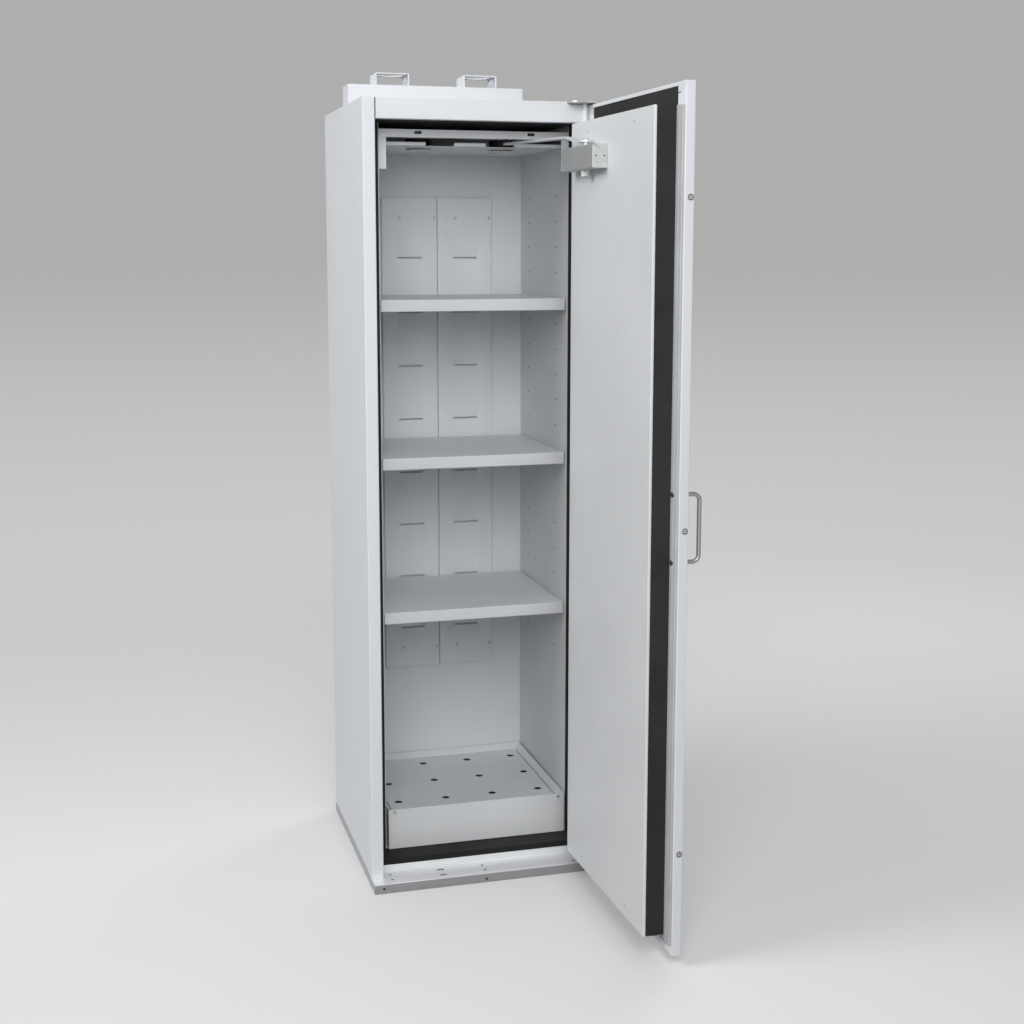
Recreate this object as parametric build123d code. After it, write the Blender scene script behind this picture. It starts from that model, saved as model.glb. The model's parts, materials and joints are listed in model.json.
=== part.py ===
from build123d import *
import math
import os

# Fire-resistant safety cabinet for flammable liquids, in millimetres.
# X runs to the right, Y to the back, Z up.
# The origin is on the floor, under the middle of the footprint.
# The door is drawn closed and then turned open about its two pivot pins.

# Overall sizes
WIDTH = 600.0
DEPTH = 600.0
BODY_TOP = 1950.0

# Stock, fits and cutting room
SHEET = 1.5
HEAVY_SHEET = 2.0
BEND = 1.6
SEAM = 1.0
RUNNING_FIT = 0.05
LOOSE_FIT = 0.5
SEAT_GAP = 0.3
OVERRUN = 5.0

# Base and sill
FLOOR_GAP = 1.0
SILL_TOP = 25.0
SILL_FLAT = 75.0
SILL_RISE = 18.0
SILL_RETURN = 24.0
SILL_SLOT_LENGTH = 20.0
SILL_SLOT_WIDTH = 8.0
SILL_SLOT_INSET = 180.0
SILL_SLOT_SETBACKS = (20.0, 53.0)

# Outer shell
BODY_SETBACK = 37.0
POST_WIDTH = 30.0
POST_LIP = 17.0
PANEL_LIFT = 0.5
SHELL_RETURN = 20.0
FASCIA_HEIGHT = 50.0
FASCIA_GAP = 2.0

# Fire boards and inner lining
SIDE_BOARD = 55.5
REAR_BOARD = 25.0
FLOOR_BOARD = 35.0
REBATE_DEPTH = 108.0
CEILING_DROP = 100.0
CEILING_FRONT = 155.0
CEILING_FLANGE = 8.0
NOTCH_INNER = 41.0
NOTCH_WIDTH = 73.0
NOTCH_DEPTH = 35.0
CEILING_EDGE = 18.0
BOARD_EASE = 1.0

# Shelves, their clips and the rows of clip slots in the lining
SHELF_COUNT = 3
SHELF_DROP = 478.0
PEG_PITCH = 66.0
PEGS_PER_SHELF = 6
PEG_ROWS_ABOVE = 4
PEG_ROWS_BELOW = 15
PEG_SLOT_LENGTH = 12.0
PEG_SLOT_HEIGHT = 4.0
PEG_FRONT_SETBACK = 99.0
PEG_REAR_SETBACK = 80.5
SHELF_LIP = 30.0
SHELF_HEM = 10.0
SHELF_SETBACK = 8.0
SHELF_REAR_GAP = 8.0
SHELF_SIDE_GAP = 4.0
CLIP_REACH = 14.0

# Rear air ducts
DUCT_WIDTH = 155.0
DUCT_DEPTH = 8.5
DUCT_BOTTOM = 420.0
DUCT_TOP_DROP = 216.0
DUCT_SLOT_WIDTH = 67.0
DUCT_SLOT_HEIGHT = 5.0
DUCT_SLOT_TOP_MARGIN = 162.0
DUCT_SLOT_LOW_MARGIN = 114.0
DUCT_SLOT_COUNT = 8

# Collecting tray and its perforated insert
TRAY_FRONT_REACH = 12.0
TRAY_SIDE_GAP = 4.5
TRAY_REAR_GAP = 2.5
TRAY_HEIGHT = 105.0
TRAY_RIM = 12.0
INSERT_GAP = 2.0
INSERT_DROP = 15.0
INSERT_HOLE_RADIUS = 10.0
INSERT_SIDE_MARGIN = 29.5
INSERT_FRONT_MARGIN = 77.5
INSERT_BACK_MARGIN = 50.5
INSERT_COLUMNS = 4
INSERT_ROWS = 3
DRAIN_WIDTH = 70.0
DRAIN_HEIGHT = 14.0

# Air valves in the ceiling, plenum and duct brackets on top
VALVE_X = 110.0
VALVE_SETBACK = 108.0
VALVE_RADIUS = 32.0
VALVE_FLANGE = 5.0
VALVE_FLANGE_DROP = 2.0
VALVE_HEIGHT = 22.0
VALVE_BRIDGE = 6.0
VALVE_DISC_DROP = 5.0
PLENUM_LEFT_INSET = 50.0
PLENUM_RIGHT_INSET = 70.0
PLENUM_DEPTH = 85.0
PLENUM_HEIGHT = 78.0
BRACKET_INSET = 119.5
BRACKET_WIDTH = 91.0
BRACKET_HEIGHT = 32.0
BRACKET_SHEET = 3.0
BRACKET_BEND = 2.0
DUCT_BORE_RADIUS = 35.0

# Door leaf
PIVOT_INSET = 29.5
PIVOT_SETBACK = 11.0
OPEN_ANGLE = 91.2
PAN_LEFT_INSET = 2.0
PAN_RIGHT_INSET = 8.5
PAN_SETBACK = 2.5
PAN_DEPTH = 22.0
PAN_LIFT = 3.0
PAN_DROP = 8.5
PAN_CORNER = 2.0
PAN_TOP_LIP = 8.0
PLUG_LEFT_GAP = 14.0
PLUG_RIGHT_GAP = 8.5
PLUG_BOTTOM_GAP = 3.8
PLUG_TOP_GAP = 6.2
PLUG_DEPTH = 53.2
PANEL_RETURN = 5.0
STRIP_WIDTH = 18.0
STRIP_DEPTH = 2.5
STRIP_SETBACK = 17.0
SEAL_WIDTH = 13.0
SEAL_HEIGHT = 3.0
SLIT_LENGTH = 50.0
SLIT_WIDTH = 3.0
SLIT_HEIGHT = 44.0
SLIT_SETBACK = 21.0
CORNER_SLIT_LENGTH = 15.0
CORNER_SLIT_WIDTH = 2.0
CORNER_SLIT_DROP = 22.0

# Handle and fastenings of the leaf
HANDLE_INSET = 34.0
HANDLE_HEIGHT = 995.0
HANDLE_PITCH = 150.0
HANDLE_REACH = 40.0
HANDLE_RADIUS = 5.0
HANDLE_BEND = 14.0
HANDLE_BOLT_RADIUS = 3.0
HANDLE_CAP_RADIUS = 6.5
HANDLE_CAP_HEIGHT = 4.0
EDGE_SCREW_MARGIN = 238.0
EDGE_SCREW_RADIUS = 6.5
EDGE_SCREW_SETBACK = 8.0
EDGE_SCREW_PROUD = 0.5

# Pivot hinges
PIN_RADIUS = 4.0
PIN_LENGTH = 46.0
PIN_FLANGE_RADIUS = 9.0
PIN_FLANGE = 1.5
HINGE_PLATE = 5.0
HINGE_PLATE_SIDE_REACH = 65.5
HINGE_PLATE_BACK_REACH = 74.0
HINGE_PLATE_NOSE = 12.0
SLEEVE_RADIUS = 5.5
SLEEVE_INSET = 23.5
HINGE_BLOCK_WIDTH = 33.0
HINGE_BLOCK_HEIGHT = 55.0

# Door closer
CLOSER_INSET = 41.5
CLOSER_LENGTH = 212.0
CLOSER_DEPTH = 36.0
CLOSER_HEIGHT = 54.5
CLOSER_EDGE = 2.5
SPINDLE_TO_PIVOT = 157.0
SPINDLE_RADIUS = 7.0
SPINDLE_COVER_RADIUS = 10.0
SPINDLE_COVER_HEIGHT = 14.5
SPINDLE_COVER_WALL = 2.0
END_PLUG_RADIUS = 15.0
END_PLUG_PROUD = 0.8
END_PLUG_SEAT = 3.0
END_PLUG_PIN_RADIUS = 1.6
END_PLUG_PIN_PITCH = 20.0
ARM_THICKNESS = 5.0
ARM_LIFT = 8.0
ARM_CRANK = 12.0
ARM_BEND = 30.0
ARM_CLEARANCE = 8.5
ARM_HUB_RADIUS = 13.0
ARM_EYE_RADIUS = 9.0
ARM_CRANK_START_SHARE = 0.08
ARM_CRANK_END_SHARE = 0.20
ARM_SCREW_RADIUS = 6.0
ARM_SCREW_HEIGHT = 4.0

# Ceiling frame, guide rail and shoe
FRAME_HEIGHT = 17.0
FRAME_DROP = 16.5
FRAME_LEG_WIDTH = 18.5
FRAME_LEG_LENGTH = 77.0
FRAME_SLOT_INSET = 79.4
FRAME_SLOT_LENGTH = 18.0
FRAME_SLOT_HEIGHT = 7.0
FRAME_FLANGE = 27.0
RAIL_WIDTH = 28.0
RAIL_LIP = 6.0
SHOE_LENGTH = 26.0
SHOE_PIN_RADIUS = 4.0
SHOE_LEAD = 103.6

# Places worked out from the sizes above
HALF = WIDTH / 2
FRONT = -DEPTH / 2
REAR = DEPTH / 2
BODY_FRONT = FRONT + BODY_SETBACK
OPENING = HALF - POST_WIDTH
BASE_TOP = SILL_TOP - SHEET
PANEL_BOTTOM = SILL_TOP + PANEL_LIFT
FASCIA_BOTTOM = BODY_TOP - FASCIA_HEIGHT
LID_UNDER = BODY_TOP - SHEET
SKIN_IN = HALF - SHEET
LINER_OUT = SKIN_IN - SIDE_BOARD
CAVITY = LINER_OUT - SHEET
REBATE_BACK = BODY_FRONT + REBATE_DEPTH
BACK_IN = REAR - 2 * SHEET
LINER_BACK = BACK_IN - REAR_BOARD
CAVITY_BACK = LINER_BACK - SHEET
BOARD_FLOOR = BASE_TOP + FLOOR_BOARD
CAVITY_FLOOR = BOARD_FLOOR + SHEET
BOARD_CEILING = FASCIA_BOTTOM + SHEET
CEILING_HEIGHT = BODY_TOP - CEILING_DROP
CEILING_START = BODY_FRONT + CEILING_FRONT
VALVE_Y = CEILING_START + VALVE_SETBACK
SILL_BACK = FRONT + SILL_FLAT
SILL_STEP = SILL_TOP + SILL_RISE
SILL_SLOT_X = -HALF + SILL_SLOT_INSET
SHELF_FRONT = REBATE_BACK + SHELF_SETBACK
SHELF_BACK = CAVITY_BACK - DUCT_DEPTH - SHELF_REAR_GAP
SHELF_HALF = CAVITY - SHELF_SIDE_GAP
SHELF_HIGHEST = BODY_TOP - SHELF_DROP
SHELF_STEP = PEG_PITCH * PEGS_PER_SHELF
PEG_SLOT_TOP = SHELF_HIGHEST - SHEET
PEG_COLUMNS = (REBATE_BACK + PEG_FRONT_SETBACK, CAVITY_BACK - PEG_REAR_SETBACK)
DUCT_TOP = BODY_TOP - DUCT_TOP_DROP
DUCT_SLOT_HIGHEST = DUCT_TOP - DUCT_SLOT_TOP_MARGIN
DUCT_SLOT_PITCH = (DUCT_SLOT_HIGHEST - DUCT_BOTTOM - DUCT_SLOT_LOW_MARGIN) / (DUCT_SLOT_COUNT - 1)
TRAY_FRONT = REBATE_BACK - TRAY_FRONT_REACH
TRAY_BACK = CAVITY_BACK - TRAY_REAR_GAP
TRAY_HALF = CAVITY - TRAY_SIDE_GAP
TRAY_TOP = CAVITY_FLOOR + TRAY_HEIGHT
INSERT_TOP = TRAY_TOP - INSERT_DROP
INSERT_HALF = TRAY_HALF - SHEET - TRAY_RIM - INSERT_GAP
INSERT_FRONT = TRAY_FRONT + SHEET + TRAY_RIM + INSERT_GAP
INSERT_BACK = TRAY_BACK - SHEET - TRAY_RIM - INSERT_GAP
INSERT_FIRST_ROW = INSERT_FRONT + INSERT_FRONT_MARGIN
INSERT_HOLE_PITCH_X = 2 * (INSERT_HALF - INSERT_SIDE_MARGIN) / (INSERT_COLUMNS - 1)
INSERT_HOLE_PITCH_Y = (INSERT_BACK - INSERT_BACK_MARGIN - INSERT_FIRST_ROW) / (INSERT_ROWS - 1)
PLENUM_LEFT = -HALF + PLENUM_LEFT_INSET
PLENUM_RIGHT = HALF - PLENUM_RIGHT_INSET
PLENUM_FRONT = REAR - SEAM - PLENUM_DEPTH
PLENUM_TOP = BODY_TOP + PLENUM_HEIGHT
DUCT_Y = PLENUM_FRONT + PLENUM_DEPTH / 2
DUCT_XS = (PLENUM_LEFT + BRACKET_INSET, PLENUM_RIGHT - BRACKET_INSET)
PIVOT_X = HALF - PIVOT_INSET
PIVOT_Y = FRONT + PIVOT_SETBACK
PAN_LEFT = -HALF + PAN_LEFT_INSET
PAN_RIGHT = HALF - PAN_RIGHT_INSET
PAN_OUTER = FRONT + PAN_SETBACK
PAN_INNER = PAN_OUTER + PAN_DEPTH
PAN_BOTTOM = SILL_TOP + PAN_LIFT
PAN_TOP = BODY_TOP - PAN_DROP
PLUG_LEFT = -OPENING + PLUG_LEFT_GAP
PLUG_RIGHT = OPENING - PLUG_RIGHT_GAP
PLUG_BOTTOM = BOARD_FLOOR + PLUG_BOTTOM_GAP
PLUG_TOP = FASCIA_BOTTOM - PLUG_TOP_GAP
CORE_FACE = PAN_INNER - SHEET
PLUG_FACE = CORE_FACE + PLUG_DEPTH
DOOR_FACE = PLUG_FACE + SHEET
HINGE_UNDER = BODY_TOP - HINGE_PLATE
HINGE_PLATE_LEFT = PIVOT_X - HINGE_PLATE_SIDE_REACH
HINGE_PLATE_RIGHT = PIVOT_X + HINGE_PLATE_NOSE
HINGE_PLATE_BACK = PIVOT_Y + HINGE_PLATE_BACK_REACH
HINGE_BLOCK_RIGHT = PAN_RIGHT - SHEET
HINGE_BLOCK_LEFT = HINGE_BLOCK_RIGHT - HINGE_BLOCK_WIDTH
HANDLE_X = PAN_LEFT + HANDLE_INSET
HANDLE_HEIGHTS = (HANDLE_HEIGHT - HANDLE_PITCH / 2, HANDLE_HEIGHT + HANDLE_PITCH / 2)
EDGE_SCREW_HEIGHTS = (PAN_BOTTOM + EDGE_SCREW_MARGIN, HANDLE_HEIGHT, PAN_TOP - EDGE_SCREW_MARGIN)
FRAME_TOP = BOARD_CEILING - FRAME_DROP - HEAVY_SHEET
FRAME_BOTTOM = FRAME_TOP - FRAME_HEIGHT
FRAME_LEG_BOTTOM = FRAME_BOTTOM - FRAME_LEG_LENGTH
ARM_TOP = FRAME_BOTTOM - ARM_CLEARANCE
ARM_BOTTOM = ARM_TOP - ARM_THICKNESS
ARM_HUB_BOTTOM = ARM_BOTTOM - ARM_CRANK
CLOSER_TOP = ARM_HUB_BOTTOM - ARM_LIFT
CLOSER_BOTTOM = CLOSER_TOP - CLOSER_HEIGHT
CLOSER_RIGHT = PIVOT_X - CLOSER_INSET
CLOSER_LEFT = CLOSER_RIGHT - CLOSER_LENGTH
CLOSER_FRONT = DOOR_FACE + CLOSER_DEPTH
SPINDLE_X = PIVOT_X - SPINDLE_TO_PIVOT
SPINDLE_Y = DOOR_FACE + CLOSER_DEPTH / 2
FRAME_FRONT = REBATE_BACK - HEAVY_SHEET
FRAME_INNER = CAVITY - FRAME_LEG_WIDTH
FRAME_SLOT_X = FRAME_INNER - FRAME_SLOT_INSET
RAIL_Y = REBATE_BACK + RAIL_WIDTH / 2
RAIL_HALF = FRAME_INNER - SEAM


def turned(x, y, degrees):
    """The plan point that (x, y) reaches when the door turns about its pivots."""
    angle = math.radians(degrees)
    dx = x - PIVOT_X
    dy = y - PIVOT_Y
    return (PIVOT_X + dx * math.cos(angle) - dy * math.sin(angle),
            PIVOT_Y + dx * math.sin(angle) + dy * math.cos(angle))


# The arm's length comes from the open door, and the shoe's closed place from that length.
SPINDLE_OPEN = turned(SPINDLE_X, SPINDLE_Y, OPEN_ANGLE)
SHOE_OPEN_X = SPINDLE_OPEN[0] - SHOE_LEAD
ARM_LENGTH = math.hypot(SHOE_LEAD, RAIL_Y - SPINDLE_OPEN[1])
SHOE_CLOSED_X = SPINDLE_X - math.sqrt(ARM_LENGTH ** 2 - (RAIL_Y - SPINDLE_Y) ** 2)
ARM_OPEN_ANGLE = math.degrees(math.atan2(RAIL_Y - SPINDLE_OPEN[1], SHOE_OPEN_X - SPINDLE_OPEN[0]))
ARM_CLOSED_ANGLE = math.degrees(math.atan2(RAIL_Y - SPINDLE_Y, SHOE_CLOSED_X - SPINDLE_X))


def block(x0, x1, y0, y1, z0, z1):
    """A rectangular solid between two corners."""
    middle = Pos((x0 + x1) / 2, (y0 + y1) / 2, (z0 + z1) / 2)
    return middle * Box(x1 - x0, y1 - y0, z1 - z0)


def rod(x, y, z0, z1, radius):
    """An upright cylinder from z0 to z1."""
    return Pos(x, y, (z0 + z1) / 2) * Cylinder(radius, z1 - z0)


def rod_along_y(x, z, y0, y1, radius):
    """A cylinder that runs from front to back."""
    return Pos(x, (y0 + y1) / 2, z) * Rot(90, 0, 0) * Cylinder(radius, y1 - y0)


def rod_along_x(y, z, x0, x1, radius):
    """A cylinder that runs from left to right."""
    return Pos((x0 + x1) / 2, y, z) * Rot(0, 90, 0) * Cylinder(radius, x1 - x0)


def middle_line(points, thickness):
    """Moves a square-cornered line half a sheet to its left."""
    half = thickness / 2
    runs = []
    for (ax, ay), (bx, by) in zip(points, points[1:]):
        length = math.hypot(bx - ax, by - ay)
        runs.append((-(by - ay) / length * half, (bx - ax) / length * half))
    shifts = [runs[0]] + [(a[0] + b[0], a[1] + b[1]) for a, b in zip(runs, runs[1:])] + [runs[-1]]
    return [(x + sx, y + sy) for (x, y), (sx, sy) in zip(points, shifts)]


def folded(points, plane, length, thickness=SHEET, bend=BEND):
    """Sheet bent along the points, with its thickness to their left, drawn out by the length."""
    line = FilletPolyline(*middle_line(points, thickness), radius=bend)
    return extrude(plane * trace(line, thickness), amount=length)


def from_the_side(x):
    """A plane whose own axes are the object's Y and Z, at the given X."""
    return Plane(origin=(x, 0, 0), x_dir=(0, 1, 0), z_dir=(1, 0, 0))


def from_above(z):
    """A plane whose own axes are the object's X and Y, at the given height."""
    return Plane(origin=(0, 0, z), x_dir=(1, 0, 0), z_dir=(0, 0, 1))


def mirrored(part):
    """The same piece on the other side of the cabinet."""
    return mirror(part, about=Plane.YZ)


def opened(part):
    """Turns a piece of the closed door to the open rest position."""
    return Pos(PIVOT_X, PIVOT_Y, 0) * Rot(0, 0, OPEN_ANGLE) * Pos(-PIVOT_X, -PIVOT_Y, 0) * part


def grouped(solids):
    """Several like pieces kept as separate solids of one group."""
    return Compound(children=[solid for part in solids for solid in part.solids()])


def hinge_plate_room():
    """The room that the upper hinge plate needs in the pieces round it."""
    return block(HINGE_PLATE_LEFT - SEAM, HINGE_PLATE_RIGHT + SEAM, FRONT - OVERRUN,
                 HINGE_PLATE_BACK + SEAM, HINGE_UNDER - SEAM, BODY_TOP + OVERRUN)


# Base
def base_tray():
    tray = block(-HALF, HALF, FRONT + SHEET, REAR, 0, BASE_TOP - SEAM)
    return tray - block(-SKIN_IN, SKIN_IN, FRONT + 2 * SHEET, REAR - SHEET, SHEET, BASE_TOP)


def sill_plate():
    flat = folded([(SILL_BACK, SILL_TOP), (FRONT, SILL_TOP), (FRONT, FLOOR_GAP)],
                  from_the_side(-HALF), WIDTH)
    step = folded([(SILL_BACK + SILL_RETURN, SILL_STEP), (SILL_BACK, SILL_STEP),
                   (SILL_BACK, BASE_TOP)], from_the_side(-OPENING + SEAM), 2 * (OPENING - SEAM))
    sill = flat + step
    for setback in SILL_SLOT_SETBACKS:
        slot = Pos(SILL_SLOT_X, FRONT + setback, BASE_TOP - SHEET) * extrude(
            SlotOverall(SILL_SLOT_LENGTH, SILL_SLOT_WIDTH), amount=SHEET * 3)
        sill -= slot
    return sill


# Outer shell
def side_panel_right():
    path = [(OPENING, BODY_FRONT + POST_LIP), (OPENING, BODY_FRONT), (HALF, BODY_FRONT),
            (HALF, REAR), (HALF - SHELL_RETURN, REAR)]
    return folded(path, from_above(PANEL_BOTTOM), BODY_TOP - PANEL_BOTTOM)


def rear_panel():
    wide = SKIN_IN - SEAM
    return block(-wide, wide, BACK_IN, REAR - SHEET, PANEL_BOTTOM, LID_UNDER)


def top_panel():
    wide = SKIN_IN - SEAT_GAP
    start = BODY_FRONT + SHELL_RETURN + SEAM
    lid = block(-wide, wide, start, BACK_IN, LID_UNDER, BODY_TOP)
    for x in DUCT_XS:
        lid -= rod(x, DUCT_Y, LID_UNDER - OVERRUN, BODY_TOP + OVERRUN, DUCT_BORE_RADIUS)
    return lid - hinge_plate_room()


def front_fascia():
    path = [(BODY_FRONT + SHELL_RETURN, BODY_TOP), (BODY_FRONT, BODY_TOP),
            (BODY_FRONT, FASCIA_BOTTOM), (BODY_FRONT + SHELL_RETURN, FASCIA_BOTTOM)]
    wide = OPENING - FASCIA_GAP
    return folded(path, from_the_side(-wide), 2 * wide) - hinge_plate_room()


# Fire boards
def insulation_right():
    return block(LINER_OUT, SKIN_IN, REBATE_BACK, BACK_IN, SHEET, LID_UNDER)


def insulation_rear():
    return block(-LINER_OUT, LINER_OUT, LINER_BACK, BACK_IN, BOARD_FLOOR, BOARD_CEILING)


def insulation_floor():
    behind_step = SILL_BACK + SHEET + SEAM
    step_top = SILL_STEP - SHEET
    path = Polyline((behind_step, SHEET), (BACK_IN, SHEET), (BACK_IN, BOARD_FLOOR),
                    (REBATE_BACK, BOARD_FLOOR), (REBATE_BACK, step_top), (behind_step, step_top),
                    close=True)
    board = extrude(from_the_side(-LINER_OUT) * make_face(path), amount=2 * LINER_OUT)
    return board + block(-SKIN_IN, SKIN_IN, FRONT + 2 * SHEET, REBATE_BACK, SHEET, BASE_TOP)


def insulation_top():
    board = block(-LINER_OUT, LINER_OUT, REBATE_BACK, BACK_IN, BOARD_CEILING, LID_UNDER)
    for x in DUCT_XS:
        board -= rod(x, DUCT_Y, BOARD_CEILING - OVERRUN, LID_UNDER + OVERRUN, DUCT_BORE_RADIUS)
    return board


def rebate_right():
    board = block(OPENING + SHEET, SKIN_IN, BODY_FRONT + SHEET, REBATE_BACK, SILL_TOP, LID_UNDER)
    return chamfer(board.edges().filter_by(Axis.Z).group_by(Axis.Y)[0], BOARD_EASE)


def rebate_top():
    board = block(-OPENING, OPENING, BODY_FRONT + SHEET, REBATE_BACK, BOARD_CEILING, LID_UNDER)
    return chamfer(board.edges().filter_by(Axis.X).group_by(Axis.Y)[0], BOARD_EASE)


def rebate_bottom():
    wide = OPENING + SHEET
    return block(-wide, wide, SILL_BACK, REBATE_BACK, SILL_STEP, BOARD_FLOOR)


# Inner lining
def peg_rows():
    """The heights of the clip slots' upper edges, shelf rows included."""
    rows = range(-PEG_ROWS_ABOVE, PEG_ROWS_BELOW)
    return [PEG_SLOT_TOP - row * PEG_PITCH for row in rows]


def liner_right():
    wall = block(CAVITY, LINER_OUT, REBATE_BACK, LINER_BACK, BOARD_FLOOR, BOARD_CEILING)
    for y in PEG_COLUMNS:
        for top in peg_rows():
            wall -= block(CAVITY - OVERRUN, LINER_OUT + OVERRUN, y - PEG_SLOT_LENGTH / 2,
                          y + PEG_SLOT_LENGTH / 2, top - PEG_SLOT_HEIGHT, top)
    return wall


def liner_rear():
    return block(-CAVITY, CAVITY, CAVITY_BACK, LINER_BACK, CAVITY_FLOOR, BOARD_CEILING)


def liner_floor():
    return block(-CAVITY, CAVITY, REBATE_BACK, LINER_BACK, BOARD_FLOOR, CAVITY_FLOOR)


def liner_ceiling():
    edge_up = folded([(CAVITY, CEILING_HEIGHT + CEILING_EDGE), (CAVITY, CEILING_HEIGHT),
                      (-CAVITY, CEILING_HEIGHT), (-CAVITY, CEILING_HEIGHT + CEILING_EDGE)][::-1],
                     Plane(origin=(0, CAVITY_BACK, 0), x_dir=(1, 0, 0), z_dir=(0, -1, 0)),
                     CAVITY_BACK - CEILING_START)
    lip = block(-CAVITY + SHEET, CAVITY - SHEET, CEILING_START, CEILING_START + SHEET,
                CEILING_HEIGHT, CEILING_HEIGHT + CEILING_FLANGE)
    ceiling = edge_up + lip
    for side in (-1, 1):
        inner = side * NOTCH_INNER
        outer = side * (NOTCH_INNER + NOTCH_WIDTH)
        ceiling -= block(min(inner, outer), max(inner, outer), CEILING_START - OVERRUN,
                         CEILING_START + NOTCH_DEPTH, CEILING_HEIGHT - OVERRUN,
                         CEILING_HEIGHT + CEILING_FLANGE + OVERRUN)
        ceiling -= rod(side * VALVE_X, VALVE_Y, CEILING_HEIGHT - OVERRUN,
                       CEILING_HEIGHT + OVERRUN, VALVE_RADIUS)
    return ceiling


def duct_cover_right():
    left = SEAM / 2
    right = left + DUCT_WIDTH
    face = CAVITY_BACK - DUCT_DEPTH
    cover = folded([(left, CAVITY_BACK), (left, face), (right, face), (right, CAVITY_BACK)],
                   from_above(DUCT_BOTTOM), DUCT_TOP - DUCT_BOTTOM)
    middle = (left + right) / 2
    for row in range(DUCT_SLOT_COUNT):
        height = DUCT_SLOT_HIGHEST - row * DUCT_SLOT_PITCH
        cover -= block(middle - DUCT_SLOT_WIDTH / 2, middle + DUCT_SLOT_WIDTH / 2, face - OVERRUN,
                       face + SHEET + SEAM, height - DUCT_SLOT_HEIGHT / 2,
                       height + DUCT_SLOT_HEIGHT / 2)
    return cover


def shelf_clips():
    clips = []
    for shelf in range(SHELF_COUNT):
        top = PEG_SLOT_TOP - shelf * SHELF_STEP
        for y in PEG_COLUMNS:
            start = y - PEG_SLOT_LENGTH / 2 + LOOSE_FIT
            end = y + PEG_SLOT_LENGTH / 2 - LOOSE_FIT
            under = top - PEG_SLOT_HEIGHT + LOOSE_FIT
            tongue = block(CAVITY - CLIP_REACH, LINER_OUT, start, end, under, top)
            heel = block(CAVITY - SHEET, CAVITY, start, end, under - PEG_SLOT_LENGTH, under)
            clip = tongue + heel
            clips += [clip, mirrored(clip)]
    return grouped(clips)


# Shelves, collecting tray and insert
def shelf(index):
    top = SHELF_HIGHEST - index * SHELF_STEP
    under = top - SHELF_LIP
    path = [(SHELF_FRONT + SHELF_HEM, under), (SHELF_FRONT, under), (SHELF_FRONT, top),
            (SHELF_BACK, top), (SHELF_BACK, under), (SHELF_BACK - SHELF_HEM, under)]
    return folded(path[::-1], from_the_side(-SHELF_HALF), 2 * SHELF_HALF)


def rim_funnel(low):
    """The widening room above the insert, from the rim's inner edge at the given height."""
    middle = (TRAY_FRONT + TRAY_BACK) / 2
    inset = 2 * (SHEET + TRAY_RIM)
    wide = 2 * TRAY_HALF - inset
    deep = TRAY_BACK - TRAY_FRONT - inset
    start = Pos(0, middle, low) * Rectangle(wide, deep)
    end = Pos(0, middle, low + 2 * INSERT_DROP) * Rectangle(wide + 4 * TRAY_RIM, deep + 4 * TRAY_RIM)
    return loft([start, end])


def sump_tray():
    outer = block(-TRAY_HALF, TRAY_HALF, TRAY_FRONT, TRAY_BACK, CAVITY_FLOOR, TRAY_TOP)
    tray = outer - block(-TRAY_HALF + SHEET, TRAY_HALF - SHEET, TRAY_FRONT + SHEET, TRAY_BACK - SHEET,
                         CAVITY_FLOOR + SHEET, TRAY_TOP + OVERRUN)
    inset = SHEET + TRAY_RIM
    mouth = block(-TRAY_HALF + inset, TRAY_HALF - inset, TRAY_FRONT + inset, TRAY_BACK - inset,
                  CAVITY_FLOOR + SHEET, TRAY_TOP + OVERRUN)
    rim = (rim_funnel(INSERT_TOP - SHEET) & outer) - rim_funnel(INSERT_TOP) - mouth
    return tray + rim


def sump_insert():
    floor = CAVITY_FLOOR + SHEET
    plate = block(-INSERT_HALF, INSERT_HALF, INSERT_FRONT, INSERT_BACK, floor, INSERT_TOP)
    plate -= block(-INSERT_HALF + SHEET, INSERT_HALF - SHEET, INSERT_FRONT + SHEET,
                   INSERT_BACK - SHEET, floor - OVERRUN, INSERT_TOP - SHEET)
    for column in range(INSERT_COLUMNS):
        x = (column - (INSERT_COLUMNS - 1) / 2) * INSERT_HOLE_PITCH_X
        for row in range(INSERT_ROWS):
            y = INSERT_FIRST_ROW + row * INSERT_HOLE_PITCH_Y
            plate -= rod(x, y, INSERT_TOP - SHEET - OVERRUN, INSERT_TOP + OVERRUN,
                         INSERT_HOLE_RADIUS)
    for x in (-INSERT_HOLE_PITCH_X, INSERT_HOLE_PITCH_X):
        plate -= block(x - DRAIN_WIDTH / 2, x + DRAIN_WIDTH / 2, INSERT_FRONT - OVERRUN,
                       INSERT_BACK + OVERRUN, floor - OVERRUN, floor + DRAIN_HEIGHT)
    return plate


# Air valves, plenum and duct brackets
def vent_valve_right():
    outer = VALVE_RADIUS - SEAT_GAP
    bore = outer - SHEET
    under = CEILING_HEIGHT - VALVE_FLANGE_DROP
    top = CEILING_HEIGHT + VALVE_HEIGHT
    ring = rod(VALVE_X, VALVE_Y, under, top, outer)
    ring += rod(VALVE_X, VALVE_Y, under, CEILING_HEIGHT, outer + VALVE_FLANGE)
    ring -= rod(VALVE_X, VALVE_Y, under - OVERRUN, top + OVERRUN, bore)
    bridge = block(VALVE_X - bore - SHEET / 2, VALVE_X + bore + SHEET / 2, VALVE_Y - VALVE_BRIDGE / 2,
                   VALVE_Y + VALVE_BRIDGE / 2, top - VALVE_BRIDGE, top)
    stem = block(VALVE_X - VALVE_BRIDGE / 2, VALVE_X + VALVE_BRIDGE / 2, VALVE_Y - VALVE_BRIDGE / 2,
                 VALVE_Y + VALVE_BRIDGE / 2, under - VALVE_DISC_DROP, top)
    disc = rod(VALVE_X, VALVE_Y, under - VALVE_DISC_DROP, under - VALVE_DISC_DROP / 2, bore)
    return ring + bridge + stem + disc


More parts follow.
